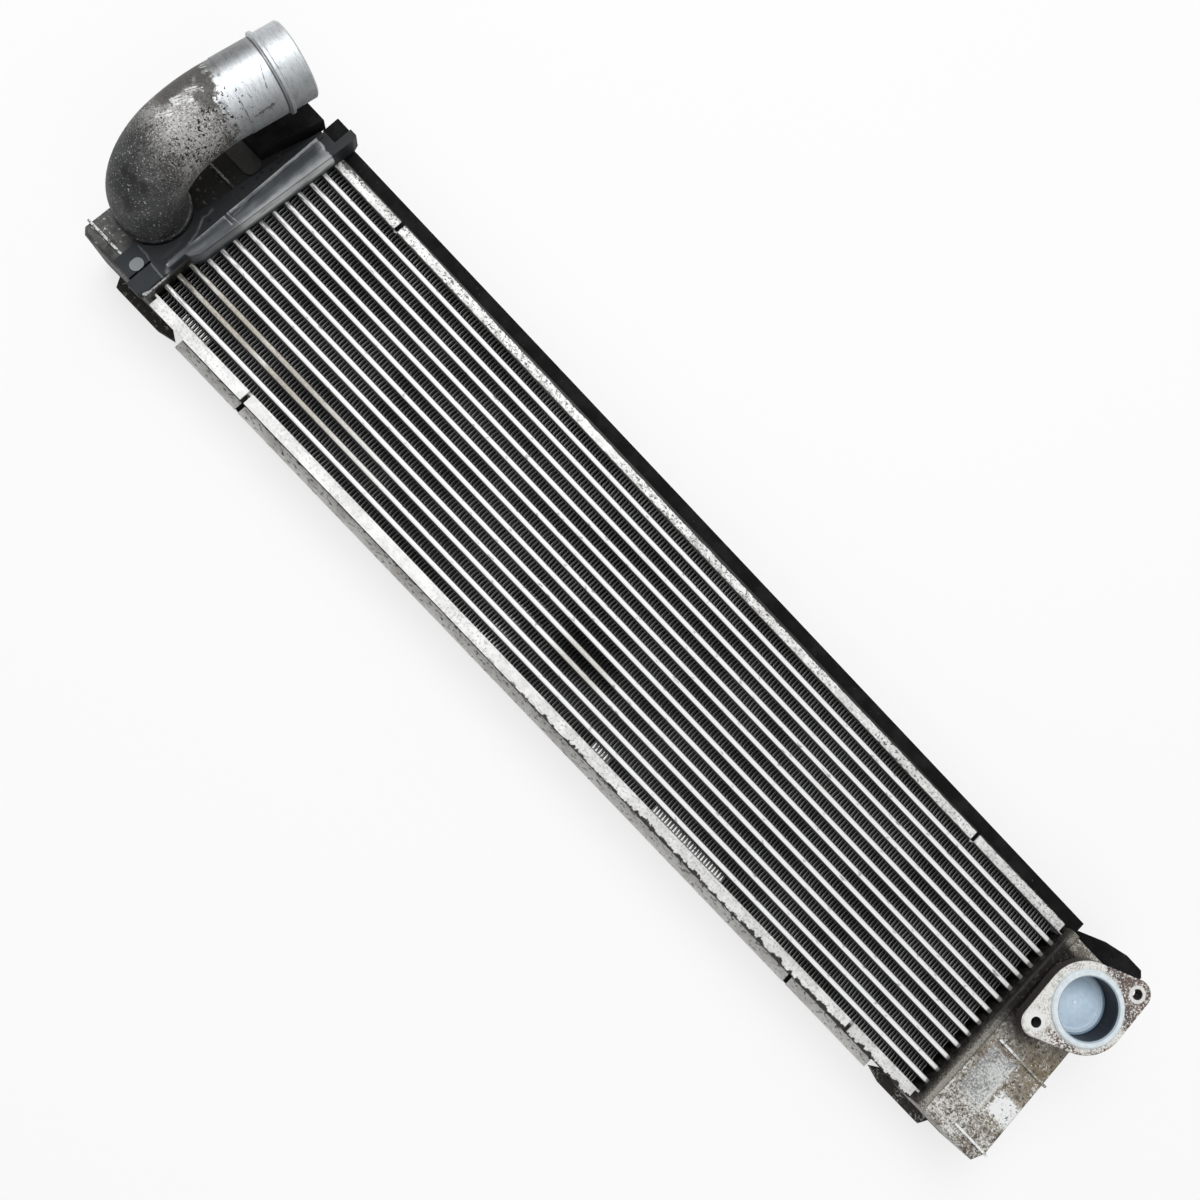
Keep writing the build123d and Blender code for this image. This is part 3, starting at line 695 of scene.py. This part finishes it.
def outletMaterial(look):
    material, shader, p = newMaterial("outletCasting", 0.6, 0.3)
    x, y, z = milli(p)
    fine = p.noise(1100.0, 4.0, 0.7)
    salt = p.noise(760.0, 4.0, 0.85)
    grit = p.noise(330.0, 5.0, 0.78)
    blotch = p.noise(70.0, 5.0, 0.7, 0.4)
    port = mountPlace("port_bolts")[0]
    portX, portY, portZ = ((port.x - coreX) / mm, (port.y - coreY) / mm, (port.z - frontZ) / mm)
    colour = blotch.rise(0.38, 0.62).blend(look["brown"], look["grey"])
    tan = inside(y, *look["tanY"]) * x.rise(*look["tanX"]) * p.noise(45.0, 3.0, 0.6).rise(0.36, 0.56)
    colour = (tan * 0.85).blend(colour, look["tan"])
    colour = (salt * 0.45 + grit * 0.55).rise(0.42, 0.50).blend(look["pit"], colour)
    colour = speckles(p, 560.0, 0.55, 0.58, 55.0).blend(colour, look["oxide"])
    bloom = y.fall(*look["bloomY"]) * (1.0 - inside(y, *look["bareY"]) * x.rise(*look["bareX"]) * 0.8)
    lower = bloom * (salt * 0.45 + grit * 0.4 + blotch * 0.15).rise(0.495, 0.53)
    colour = (lower * 0.9).blend(colour, look["oxide"])
    drops = p.noise(520.0, 1.0, 0.5).rise(0.68, 0.71) * inside(y, *look["dropsY"])
    colour = drops.blend(colour, look["whiteOxide"])
    # a bare patch where a plate was, a line scored beside it, and a patch of oxide
    top = z.rise(*look["topZ"])
    wobble = (grit - 0.5) * 10.0
    plate = inside(x + wobble, *look["plateX"]) * inside(y + wobble, *look["plateY"]) * top
    plateTone = (p.noise(600.0, 5.0, 0.85) + (blotch - 0.5) * 0.4).rise(0.45, 0.54)
    plateTone = plateTone.blend(look["plate"], look["plateOxide"])
    colour = (plate * 0.85).blend(colour, plateTone)
    scored = inside(x, *look["scoredX"]) * inside(y, *look["scoredY"]) * top
    colour = (scored * 0.6).blend(colour, look["oxide"])
    wobble = wobble * 2.4
    white = inside(x + wobble, *look["patchX"]) * inside(y + wobble, *look["patchY"]) * top
    white = white * (1.0 - p.noise(400.0, 4.0, 0.75).rise(0.60, 0.66) * 0.8)
    colour = white.blend(colour, look["whiteOxide"])
    # the rim is painted with shade on its core side and a highlight along its ridge, with pale spots and a
    # dark groove
    rim = x.fall(*look["rimX"])
    ridge = inside(x + (grit - 0.5) * 2.0, *look["ridgeX"])
    rimTone = (ridge * (0.75 + y.rise(-10.0, -60.0) * 0.25) + (salt - 0.5) * 4.0 - 0.1).clip()
    rimTone = rimTone.blend(look["rim"], look["rimSpotAndHighlight"])
    rimTone = (inside(x, *look["rimGroove"]) * 0.6).blend(rimTone, look["pit"])
    colour = rim.blend(colour, rimTone)
    pits = speckles(p, 480.0, 0.57, 0.61, 60.0) * (1.0 - plate * 0.4)
    colour = pits.blend(colour, look["pit"])
    # painted shade lies in the corner between the rim and the port's neck
    paintedShade = (y + blotch * 30.0).rise(0.0, 30.0) * (x + blotch * 10.0).fall(*look["shadeX"]) * top
    paintedShade = paintedShade * inside(y, *look["shadeY"])
    colour = (paintedShade * (1.0 - grit.rise(0.54, 0.60) * 0.3)).blend(colour, look["paintedShade"])
    # the rib tops are pale with oxide and a painted highlight
    ribTopHighlight = z.rise(*look["ribZ"]) * z.fall(*look["ribTopZ"]) * x.rise(*look["ribX"])
    ribPale = y.fall(*look["lowRibY"]).most(1.0 - (x + grit * 20.0).rise(*look["ribPaleX"]) * 0.85)
    colour = (ribTopHighlight * ribPale * grit.rise(0.36, 0.5)).blend(colour, look["whiteOxide"])
    # the port: a neck below with painted shade on its left side and painted light towards its right, a
    # machined face on top with rusty pits round the ears
    dx, dy = x - portX, y - portY
    neck = z.rise(*look["neckZ"])
    neckShading = (grit.rise(0.5, 0.62) * dx.rise(-28.0, 20.0) * 0.6).blend(look["neck"], look["neckLit"])
    colour = neck.blend(colour, neckShading)
    faceTop = z.rise(portZ - 1.1, portZ - 0.5)
    reach = dx.reach(dy)
    earX, earY = look["earWay"]
    ear = dx * earX + dy * earY  # towards the upper ear
    aside = dx * earY - dy * earX  # towards the tank's outer, lower side
    spread = (p.noise(85.0, 4.0, 0.65) - 0.5) * 26.0
    # pits gather round the upper ear, down the outer side and beside the lower ear
    upper = (ear + spread).rise(18.0, 28.0)
    outer = (aside + spread * 0.6).rise(27.0, 33.0)
    beside = inside(ear + spread * 0.4, -32.0, -14.0, 6.0) * (aside + spread * 0.3).rise(4.0, 12.0)
    beside = beside * reach.rise(27.5, 30.0)
    edgeRust = (reach + spread * 0.5).rise(31.0, 36.0) * ear.rise(0.0, 10.0).most(aside.rise(-4.0, 8.0)) * 0.5
    rusty = (upper + outer * 0.8 + beside + edgeRust).clip()
    dots = p.noise(600.0, 3.0, 0.8)
    rust = rusty * (dots + rusty * 0.02 + upper * 0.028).rise(0.495, 0.515)
    face = salt.rise(0.40, 0.56).blend(look["face"], look["facePale"])
    stain = (p.noise(200.0, 5.0, 0.75) + reach.rise(28.0, 32.0) * 0.04).rise(0.55, 0.63)
    stain = stain * aside.fall(-10.0, 12.0)
    face = (stain * 0.6).blend(face, look["stain"])
    face = (speckles(p, 560.0, 0.55, 0.59, 90.0) * 0.7).blend(face, look["faceSpeck"])
    # pale rings are pressed round the two holes, and the lower one's ear is rubbed clean
    ringReach = (ear.absolute() - look["holeReach"]).reach(aside)
    clean = (ringReach + spread * 0.25).fall(7.0, 11.0) * ear.fall(-4.0, 4.0)
    face = (clean * 0.8).blend(face, look["facePale"])
    rustTone = blotch.rise(0.40, 0.60).blend(look["rust"], look["rustPale"])
    face = (rust * 0.92).blend(face, rustTone)
    face = (inside(ringReach, *look["ringReach"]) * 0.85).blend(face, look["ring"])
    colour = faceTop.blend(colour, face)
    bore = ringReach.fall(*look["holeEdge"]) * z.rise(portZ - 14.0, portZ - 10.0)
    colour = bore.blend(colour, look["bore"])
    lug = z.fall(*look["lugZ"]) * y.fall(*look["lugY"])
    colour = lug.blend(colour, speckles(p, 420.0, 0.52, 0.57, 60.0).blend(look["lug"], look["lugSpeck"]))
    feed(shader, "Base Color", colour)
    bump(shader, grit + fine * 0.5, 0.0004, 0.6)
    return material


inletLook = {
    "bright": (0.68, 0.72, 0.75),
    "polish": (0.84, 0.87, 0.89),
    "scratch": (0.34, 0.365, 0.39),
    "cast": (0.41, 0.40, 0.39),
    "castDark": (0.075, 0.07, 0.065),
    "grime": (0.030, 0.031, 0.032),
    "grimePale": (0.075, 0.076, 0.078),
    "speck": (0.62, 0.62, 0.60),
    "pit": (0.015, 0.014, 0.013),
    "tankDark": (0.012, 0.0105, 0.0095),
    "tankPale": (0.10, 0.10, 0.098),
    "tankBeside": (0.050, 0.047, 0.044),
    "lug": (0.02, 0.018, 0.016),
    "lugSpeck": (0.30, 0.28, 0.26),
    "groove": (0.07, 0.066, 0.06),
    "scrape": (0.72, 0.73, 0.73),
    "inside": (0.045, 0.042, 0.038),
    "pinReach": 9.8,  # millimetres from the middle of the hose's seat to the mouth
    "bore": 23.4,
    "machined": (55.0, 60.0),  # millimetres from the mouth where the machined skin ends
    "sideShade": (0.13, 0.135, 0.13),
    "grooveAlong": (22.7, 24.0, 0.6),
    # in plan, on the elbow's upper side: scrapes, a dark band, a band of pits, scratches and dark blotches
    "scrapes": (((-447.4, 29.6), (-451.1, 22.5)), ((-450.2, 19.4), (-452.4, 11.1)),
                ((-445.0, 19.4), (-449.5, 10.4)), ((-447.4, 3.9), (-451.2, -3.8)),
                ((-459.8, 46.0), (-459.8, 41.0)), ((-453.0, 47.0), (-454.0, 40.0))),
    "strokeWay": (0.46, 0.89),  # the direction in which the scrapes run
    "scrapeZ": (52.0, 56.0),
    "band": ((-459.0, 8.0), (-463.0, 36.0), (-452.0, 37.0), (-445.8, 32.0), (-441.0, 29.0)),
    "pits": ((-428.5, 40.0), (-430.0, 26.0), (-424.0, 10.0), (-426.0, -8.0)),
    "cuts": (((-415.8, 61.5), (-417.8, 45.7)), ((-434.3, 69.0), (-422.6, 63.1)),
             ((-428.0, 44.0), (-414.0, 41.5))),
    "blotches": ((-437.9, -41.4), (-430.0, -39.9), (-434.9, -54.9), (-444.0, -42.0)),
    "sunnyAlong": (72.0, 112.0, 26.0),
    "sunnyAcross": (-8.0, 26.0, 16.0),
    "grimeAlong": (94.0, 138.0),
    "elbowZ": (5.9, 8.5),
    "paleY": (-62.0, -48.0),
    "paleZ": (20.0, 26.0),
    "outsideX": (-461.5, -459.0),
    "outsideZ": (3.0, 5.0),
    "besideX": (-424.0, -420.0),
    "besideY": (20.0, 22.0),
    "besideZ": (5.8, 8.2, 0.3),
    "besideFade": (-416.0, -396.0),
    "ribY": (-70.0, -60.0),
    "ribZ": (7.0, 8.2, 0.4),
    "lugZ": (-46.0, -40.0),
    "lugY": (-86.0, -84.0),
}


def inletMaterial(look):
    material, shader, p = newMaterial("inletCasting", 0.36, 0.45)
    x, y, z = milli(p)
    pin, axis = mountPlace("hose_spigot")
    mouth = pin + axis * look["pinReach"] * mm
    fine = p.noise(1100.0, 4.0, 0.7)
    grit = p.noise(300.0, 5.0, 0.75)
    blotch = p.noise(60.0, 5.0, 0.7, 0.3)
    cloud = p.noise(26.0, 3.0, 0.6)
    mouthX, mouthY = (mouth.x - coreX) / mm, (mouth.y - coreY) / mm
    # distance down from the mouth along the spigot's axis, and the place across it
    along = (x - mouthX) * -axis.x + (y - mouthY) * -axis.y
    across = (x - mouthX) * axis.y - (y - mouthY) * axis.x
    bright = fine.rise(0.3, 0.7).blend(look["bright"], look["polish"])
    lines = along.node("ShaderNodeCombineXYZ", None, {0: along * 0.001, 1: across * 0.00006, 2: z * 0.00006})
    bright = (lines.noise(1500.0, 4.0, 0.75).rise(0.50, 0.64) * 0.5).blend(bright, look["scratch"])
    bright = (p.noise(240.0, 5.0, 0.75).rise(0.52, 0.66) * 0.4).blend(bright, look["scratch"])
    below = along.rise(20.0, 28.0)
    shade = across.rise(12.0, 27.0) * (0.35 + below * 0.25) + (3.0 - across).rise(0.0, 16.0) * below * 0.75
    shade = shade + (1.0 - below) * 0.20
    bright = (shade * (0.6 + blotch * 0.8)).blend(bright, look["sideShade"])
    bright = (inside(along, *look["grooveAlong"]) * 0.9).blend(bright, look["groove"])
    dots = p.noise(430.0, 1.0, 0.5)
    salt = p.noise(900.0, 3.0, 0.8)
    pitBand = (fromLine(x, y, look["pits"]) + (blotch - 0.5) * 16.0).fall(4.0, 15.0)
    worked = z.rise(*look["scrapeZ"])
    for cut in look["cuts"]:
        scratch = (fromLine(x, y, cut) + (grit - 0.5) * 2.4).fall(0.15, 0.5) * worked
        bright = (scratch * 0.7).blend(bright, look["castDark"])
    bright = (dots.rise(0.66, 0.70) * (along.rise(20.0, 60.0) * 0.3 + pitBand)).blend(bright, look["pit"])
    sunny = inside(along, *look["sunnyAlong"]) * inside(across, *look["sunnyAcross"])
    mottle = blotch * 0.35 + cloud * 0.2 + salt * 0.5 + sunny * 0.05
    cast = mottle.rise(0.48, 0.60).blend(look["castDark"], look["cast"])
    cast = ((p.noise(900.0, 2.0, 0.6) + sunny * 0.03).rise(0.60, 0.64) * 0.9).blend(cast, look["speck"])
    cast = (p.noise(700.0, 2.0, 0.6).rise(0.59, 0.63) * 0.9).blend(cast, look["pit"])
    band = (fromLine(x, y, look["band"]) + (blotch - 0.5) * 16.0).fall(5.0, 11.0)
    cast = (band * 0.85).blend(cast, look["castDark"])
    cast = (dots.rise(0.60, 0.65) * (pitBand + 0.15)).blend(cast, look["pit"])
    strokeX, strokeY = look["strokeWay"]
    strokes = {0: (x * strokeY - y * strokeX) * 0.001, 1: (x * strokeX + y * strokeY) * 0.00012}
    strokes = x.node("ShaderNodeCombineXYZ", None, strokes).noise(900.0, 3.0, 0.7).rise(0.46, 0.54)
    for scrape in look["scrapes"]:
        worn = (fromLine(x, y, scrape) + (grit - 0.5) * 8.0).fall(1.3, 2.4) * worked
        cast = (worn * strokes * 0.95).blend(cast, look["scrape"])
    grime = (blotch * 0.6 + salt * 0.4).rise(0.42, 0.60).blend(look["grime"], look["grimePale"])
    grime = (p.noise(760.0, 2.0, 0.6).rise(0.63, 0.67) * 0.7).blend(grime, look["speck"])
    for blotchX, blotchY in look["blotches"]:
        dark = (x - blotchX).reach(y - blotchY) + (grit - 0.5) * 9.0
        grime = (dark.fall(2.0, 4.5) * 0.8).blend(grime, look["pit"])
    down = along + (cloud - 0.5) * 46.0 + (blotch - 0.5) * 14.0
    skin = down.rise(*look["grimeAlong"]).blend(cast, grime)
    # the machined skin's edge is sharp on one side and frayed on the other
    right = across.rise(-6.0, 12.0)
    edge = along + (p.noise(110.0, 5.0, 0.75) - 0.5) * 34.0 - right * 5.0
    rough = (edge + (salt - 0.5) * 26.0 * right).rise(*look["machined"])
    onElbow = z.rise(*look["elbowZ"])
    elbow = rough.blend(bright, skin)
    # the tank below: black with grime beside the core, paler at the far end
    pale = y.fall(*look["paleY"]) * z.fall(*look["paleZ"])
    tank = (pale * blotch.rise(0.3, 0.6)).blend(look["tankDark"], look["tankPale"])
    tank = (speckles(p, 330.0, 0.58, 0.66, 60.0) * (0.25 + pale * 0.6)).blend(tank, look["speck"])
    outside = x.fall(*look["outsideX"]) * z.fall(*look["outsideZ"])
    tank = outside.blend(tank, look["tankPale"])
    colour = onElbow.blend(tank, elbow)
    up = z - (mouth.z - frontZ) / mm
    bore = across.reach(up).fall(look["bore"] - 0.4, look["bore"])
    colour = (bore * along.fall(80.0, 96.0) * z.rise(20.0, 24.0)).blend(colour, look["inside"])
    beside = x.rise(*look["besideX"]).most(y.rise(*look["besideY"])) * inside(z, *look["besideZ"])
    besideTone = (x + y * 0.3 + blotch * 16.0).rise(*look["besideFade"])
    besideTone = besideTone.blend(look["tankBeside"], look["tankDark"])
    colour = (beside * 0.9).blend(colour, besideTone)
    # a painted highlight along the lower rib's top
    ribTopHighlight = inside(z, *look["ribZ"]) * y.fall(*look["ribY"]) * grit.rise(0.40, 0.52)
    colour = (ribTopHighlight * 0.9).blend(colour, look["scrape"])
    lug = z.fall(*look["lugZ"]) * y.fall(*look["lugY"])
    colour = lug.blend(colour, speckles(p, 300.0, 0.56, 0.64, 60.0).blend(look["lug"], look["lugSpeck"]))
    feed(shader, "Base Color", colour)
    machined = (1.0 - rough) * onElbow
    feed(shader, "Metallic", 0.3 + machined * 0.4)
    feed(shader, "Roughness", 0.6 - machined * 0.12)
    bump(shader, grit + fine * 0.4, 0.0003, 0.5)
    return material


# the header plates are seen only in the gaps by the rims, and are painted near black as shade
headerLook = {"shadedMetal": (0.055, 0.050, 0.045), "dark": (0.010, 0.0095, 0.009)}


def headerMaterial(look):
    material, shader, p = newMaterial("headerSheet", 0.55, 0.3)
    grit = p.noise(260.0, 4.0, 0.7)
    feed(shader, "Base Color", grit.rise(0.4, 0.65).blend(look["dark"], look["shadedMetal"]))
    bump(shader, grit, 0.0002, 0.4)
    return material


dress(["outlet_tank"], outletMaterial(outletLook))
dress(["inlet_tank"], inletMaterial(inletLook))
dress(["header_plate_inlet", "header_plate_outlet"], headerMaterial(headerLook))

deflectorLook = {
    "slate": (0.029, 0.035, 0.041),
    "dark": (0.010, 0.0125, 0.0145),
    "dust": (0.175, 0.19, 0.197),
    "paleDust": (0.33, 0.345, 0.35),
    "foot": (0.016, 0.020, 0.024),
    "button": (0.24, 0.26, 0.27),
    "cap": (0.012, 0.014, 0.017),
    "speck": (0.003, 0.003, 0.003),
    "wallDust": (0.74, 0.755, 0.75),
    "upperY": (-12.0, 8.0),
    "filmY": 79.6,
    "footY": (-66.0, -63.0),
    "buttonX": (-412.0, -411.0),
    "buttonY": (-66.0, -64.0),
    # creases and edges in plan, made pale with dust and a painted highlight
    "filmEdge": ((-407.5, 83.0), (-399.7, 80.3), (-394.1, 77.9), (-389.5, 80.3), (-384.6, 78.6),
                 (-380.4, 84.5)),
    "coreEdge": ((-384.8, 96.0), (-393.1, -38.5), (-396.1, -44.0), (-399.9, -46.5), (-399.9, -58.0)),
    "fold": ((-401.8, 81.2), (-401.6, 60.9), (-402.1, 36.7), (-402.4, 19.2), (-402.4, -1.5)),
    "split": ((-401.2, 19.1), (-398.9, -1.5)),
    "cross": ((-408.4, -4.9), (-400.7, -4.3), (-389.2, -3.2)),
    "lowCross": ((-411.0, -9.3), (-408.2, -8.6), (-400.5, -8.1), (-394.4, -7.6)),
    "lowFold": ((-402.8, -9.4), (-402.5, -28.3), (-404.0, -43.9), (-404.1, -56.3), (-400.4, -63.3)),
    "slope": ((-413.7, -9.3), (-413.2, -18.8), (-407.2, -30.7), (-405.7, -38.6)),
    "lowRub": ((-395.5, -31.5), (-397.6, -46.0), (-401.0, -57.0)),
    "footTop": ((-427.6, -64.9), (-419.1, -65.5), (-412.1, -67.0), (-399.0, -68.0)),
    "holes": ((-408.7, 50.9), (-408.5, 47.6), (-408.6, 41.2), (-411.4, 34.7), (-410.4, 29.9),
              (-412.0, 17.0), (-409.5, -16.4)),
}


def deflectorMaterial(look):
    material, shader, p = newMaterial("deflectorPlastic", 0.55, 0.0, Specular_IOR_Level=0.25)
    x, y, z = milli(p)
    topZ = (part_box("air_deflector")[1].z - frontZ) / mm
    cloud = p.noise(36.0, 5.0, 0.6)
    fine = p.noise(700.0, 3.0, 0.6)
    streak = p.stretch(2.2, 0.35, 1.0).noise(75.0, 4.0, 0.6)
    warp = (p.noise(110.0, 3.0, 0.6) - 0.5) * 4.0
    x, y = x + warp, y - warp

    def dustAndHighlight(name, width, strength):
        # pale dust and painted highlight, strong on the line and gone at the width, in streaks
        fade = fromLine(x, y, look[name]).fall(0.0, width)
        return fade * strength * (0.5 + streak.rise(0.34, 0.62) * 0.7)

    dust = (streak.rise(0.54, 0.74) * 0.20 + cloud.rise(0.54, 0.75) * 0.12 + fine * 0.03).clip()
    colour = dust.blend(look["slate"], look["dust"])
    upper = y.rise(*look["upperY"])
    broad = (dustAndHighlight("coreEdge", 9.0, 1.1) * (0.35 + upper * 0.65)).most(dustAndHighlight("fold", 3.6, 1.0))
    broad = broad.most(dustAndHighlight("lowFold", 3.6, 0.9)).most(dustAndHighlight("lowRub", 5.0, 0.5))
    broad = broad.most(dustAndHighlight("split", 1.6, 0.7)).most(dustAndHighlight("slope", 1.4, 0.6))
    face = broad.blend(colour, look["dust"])
    sharp = dustAndHighlight("fold", 1.5, 0.9).most(dustAndHighlight("coreEdge", 4.5, 0.9) * upper).most(dustAndHighlight("cross", 0.9, 0.8))
    sharp = sharp.most(dustAndHighlight("lowCross", 0.9, 0.9)).most(dustAndHighlight("lowFold", 1.2, 0.7)).most(dustAndHighlight("slope", 0.8, 0.6))
    face = sharp.blend(face, look["paleDust"])
    # a loose film over the upper end hides the dust, and is pale at its torn edge
    overCap = (y - look["filmY"] + warp * 0.7 + (streak - 0.5) * 8.0).rise(-0.6, 0.6)
    film = dust.blend(look["cap"], look["slate"])
    face = overCap.blend(face, film)
    filmEdge = (dustAndHighlight("filmEdge", 1.6, 0.8) + dustAndHighlight("filmEdge", 7.0, 0.5)) * (1.0 - overCap)
    face = filmEdge.blend(face, look["paleDust"])
    lowPart = z.fall(topZ - 3.4, topZ - 2.6)
    # the wall towards the core is dusty, and most at its top
    wall = fromLine(x - warp, y + warp, look["coreEdge"]).fall(1.0, 1.8)
    grain = p.stretch(1.0, 0.4, 2.0).noise(160.0, 4.0, 0.7).rise(0.4, 0.6)
    wallDust = (0.35 + streak.rise(0.34, 0.60) * 0.5 + grain * 0.3 + y.rise(30.0, 90.0) * 0.2).clip()
    wallDust = wallDust * (0.3 + upper * 0.7) * (0.3 + z.rise(topZ - 13.5, topZ - 10.5) * 0.7)
    wallTone = wallDust.blend(look["slate"], look["wallDust"])
    wallTone = (y.rise(-50.0, -34.0) * z.rise(topZ - 17.0, topZ - 13.0)).blend(look["slate"], wallTone)
    wallTone = overCap.blend(wallTone, film)
    flange = dust * 0.45 + dustAndHighlight("slope", 1.4, 0.6) + dustAndHighlight("lowFold", 3.0, 0.9)
    flange = flange.blend(look["dark"], look["dust"])
    flange = speckles(p, 190.0, 0.60, 0.64, 50.0).blend(flange, look["speck"])
    for holeX, holeY in look["holes"]:
        hole = (x - holeX).reach((y - holeY) * 0.7) + (fine - 0.5) * 1.2
        flange = hole.fall(0.9, 1.3).blend(flange, look["speck"])
    foot = (dust * 0.3 + dustAndHighlight("footTop", 1.0, 0.6)).blend(look["foot"], look["dust"])
    flange = y.fall(*look["footY"]).blend(flange, foot)
    colour = lowPart.blend(face, wall.blend(flange, wallTone))
    button = inside(z, topZ - 6.6, topZ - 5.4, 0.4) * y.fall(*look["buttonY"]) * x.fall(*look["buttonX"])
    colour = (button * 0.9).blend(colour, look["button"])
    feed(shader, "Base Color", colour)
    bump(shader, fine + cloud * 2.0, 0.00025, 0.35)
    return material


dress(["air_deflector"], deflectorMaterial(deflectorLook))

plugLook = {
    "rim": (0.62, 0.69, 0.73),
    "paleRim": (0.76, 0.82, 0.85),
    "bevel": (0.40, 0.48, 0.54),
    "floor": (0.52, 0.66, 0.79),
    "paleFloor": (0.60, 0.73, 0.85),
    # painted shade on the cup's floor
    "shadedFloor": (0.30, 0.40, 0.50),
    # painted shade on the cup's wall, darkest on its right side
    "wall": (0.003, 0.006, 0.010),
    "wallPale": (0.12, 0.17, 0.22),
    "gate": (0.78, 0.85, 0.89),
    "cup": 23.15,  # millimetres, the radius inside the wall
    "floorDepth": (19.8, 18.8),  # millimetres below the ring's top where the wall takes over
    "step": (19.4, 21.8),  # the two radii of the floor's step
    "rays": (3.4, 6.4, 1.0),
    "gateReach": (1.1, 1.6),
}


def plugMaterial(look):
    material, shader, p = newMaterial("plugPlastic", 0.4, 0.0, Specular_IOR_Level=0.2)
    x, y, z = milli(p)
    low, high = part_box("port_plug")
    centreX = ((low.x + high.x) / 2 - coreX) / mm
    centreY = ((low.y + high.y) / 2 - coreY) / mm
    topZ = (high.z - frontZ) / mm
    dx, dy = x - centreX, y - centreY
    radius = dx.reach(dy)
    grain = p.noise(300.0, 4.0, 0.6)
    cloud = p.noise(60.0, 3.0, 0.6)
    # painted shade: the wall is dark on its right side and paler on its left
    side = (dx * 0.95 + dy * 0.25 + (cloud - 0.5) * 16.0).rise(-20.0, 4.0)
    wall = side.blend(look["wallPale"], look["wall"])
    # faint moulding lines run down and round the wall
    lines = (dx.turns(dy) * 26.0).sine().rise(0.6, 1.0) + (z.within(4.2) - 0.5).absolute().rise(0.42, 0.5)
    wall = (lines * grain.rise(0.45, 0.65) * 0.12).blend(wall, look["wallPale"])
    floor = grain.rise(0.35, 0.7).blend(look["floor"], look["paleFloor"])
    floorShade = (dy - dx * 0.6 + (cloud - 0.5) * 14.0).rise(2.0, 24.0)
    floor = (floorShade * 0.6).blend(floor, look["shadedFloor"])
    rays = (dx.turns(dy) * 18.0).sine() * inside(radius, *look["rays"])
    floor = (rays * 0.35).blend(floor, look["gate"])
    floor = (radius.fall(*look["gateReach"]) * 0.9).blend(floor, look["gate"])
    stepLow, stepHigh = look["step"]
    lip = inside(radius, stepLow - 0.1, stepLow + 0.5, 0.3)
    lip = lip + inside(radius, stepHigh - 0.5, stepHigh + 0.1, 0.3)
    floor = (lip * 0.6).blend(floor, look["gate"])
    # painted shade in the floor's outer ring by the wall
    floor = radius.rise(stepHigh + 0.1, stepHigh + 0.4).blend(floor, look["shadedFloor"])
    colour = z.rise(*(topZ - depth for depth in look["floorDepth"])).blend(floor, wall)
    rimTone = grain.rise(0.3, 0.8).blend(look["rim"], look["paleRim"])
    rimTone = radius.fall(look["cup"] + 0.8, look["cup"] + 1.3).blend(rimTone, look["bevel"])
    rim = radius.rise(look["cup"] - 0.02, look["cup"] + 0.06) * z.rise(topZ - 3.2, topZ - 3.0)
    feed(shader, "Base Color", rim.blend(colour, rimTone))
    bump(shader, grain, 0.0001, 0.25)
    return material


dress(["port_plug"], plugMaterial(plugLook))

foamLook = {"black": (0.005, 0.005, 0.0055), "worn": (0.013, 0.013, 0.013), "fleck": (0.16, 0.16, 0.155)}


def foamMaterial(look):
    material, shader, p = newMaterial("foamBlack", 0.9, 0.0, Specular_IOR_Level=0.15)
    pores = p.noise(520.0, 3.0, 0.7)
    worn = p.noise(60.0, 4.0, 0.6)
    colour = worn.rise(0.4, 0.7).blend(look["black"], look["worn"])
    colour = (speckles(p, 520.0, 0.66, 0.71, 30.0) * 0.5).blend(colour, look["fleck"])
    feed(shader, "Base Color", colour)
    bump(shader, pores, 0.0006, 0.8)
    return material


foamBlack = foamMaterial(foamLook)
dress(["foam_strip", "foam_block", "foam_wedge", "foam_pad"], foamBlack)

railCutShade = {
    "places": (-313.0, 288.0),  # the rail's saw cuts, filled with black pieces as painted shade
    "halfWidth": 1.75,
    "across": (-93.0, -80.4),
    "height": (-49.8, -48.7),
    "edgeSteps": 14,
    "ragged": 0.7,
}


def shadePlug(index, x, values):
    # a black strip of painted shade with a ragged outer end, closed on all sides
    steps = values["edgeSteps"]
    rng = np.random.default_rng(70 + index)
    acrossX = np.linspace(-values["halfWidth"], values["halfWidth"], steps) + x
    low = np.full(steps, values["across"][1])
    high = values["across"][0] + rng.uniform(0.0, values["ragged"], steps)
    ring = []
    for z in values["height"]:
        ring.append(np.stack([acrossX, low, np.full(steps, z)], axis=1))
        ring.append(np.stack([acrossX, high, np.full(steps, z)], axis=1))
    rows = np.array([ring[0], ring[1], ring[3], ring[2]])
    points = (rows * mm + np.array([coreX, coreY, frontZ])).reshape(-1, 3)
    faces = gridFaces(4, steps)
    ends = np.array([[0, 1, 2, 3]]) * steps
    faces = np.concatenate([faces, ends, (ends + steps - 1)[:, ::-1]])
    return meshPiece(f"shade_cut_{index}", points, faces, foamBlack)


for index, x in enumerate(railCutShade["places"]):
    shadePlug(index, x, railCutShade)
print("materials ready")
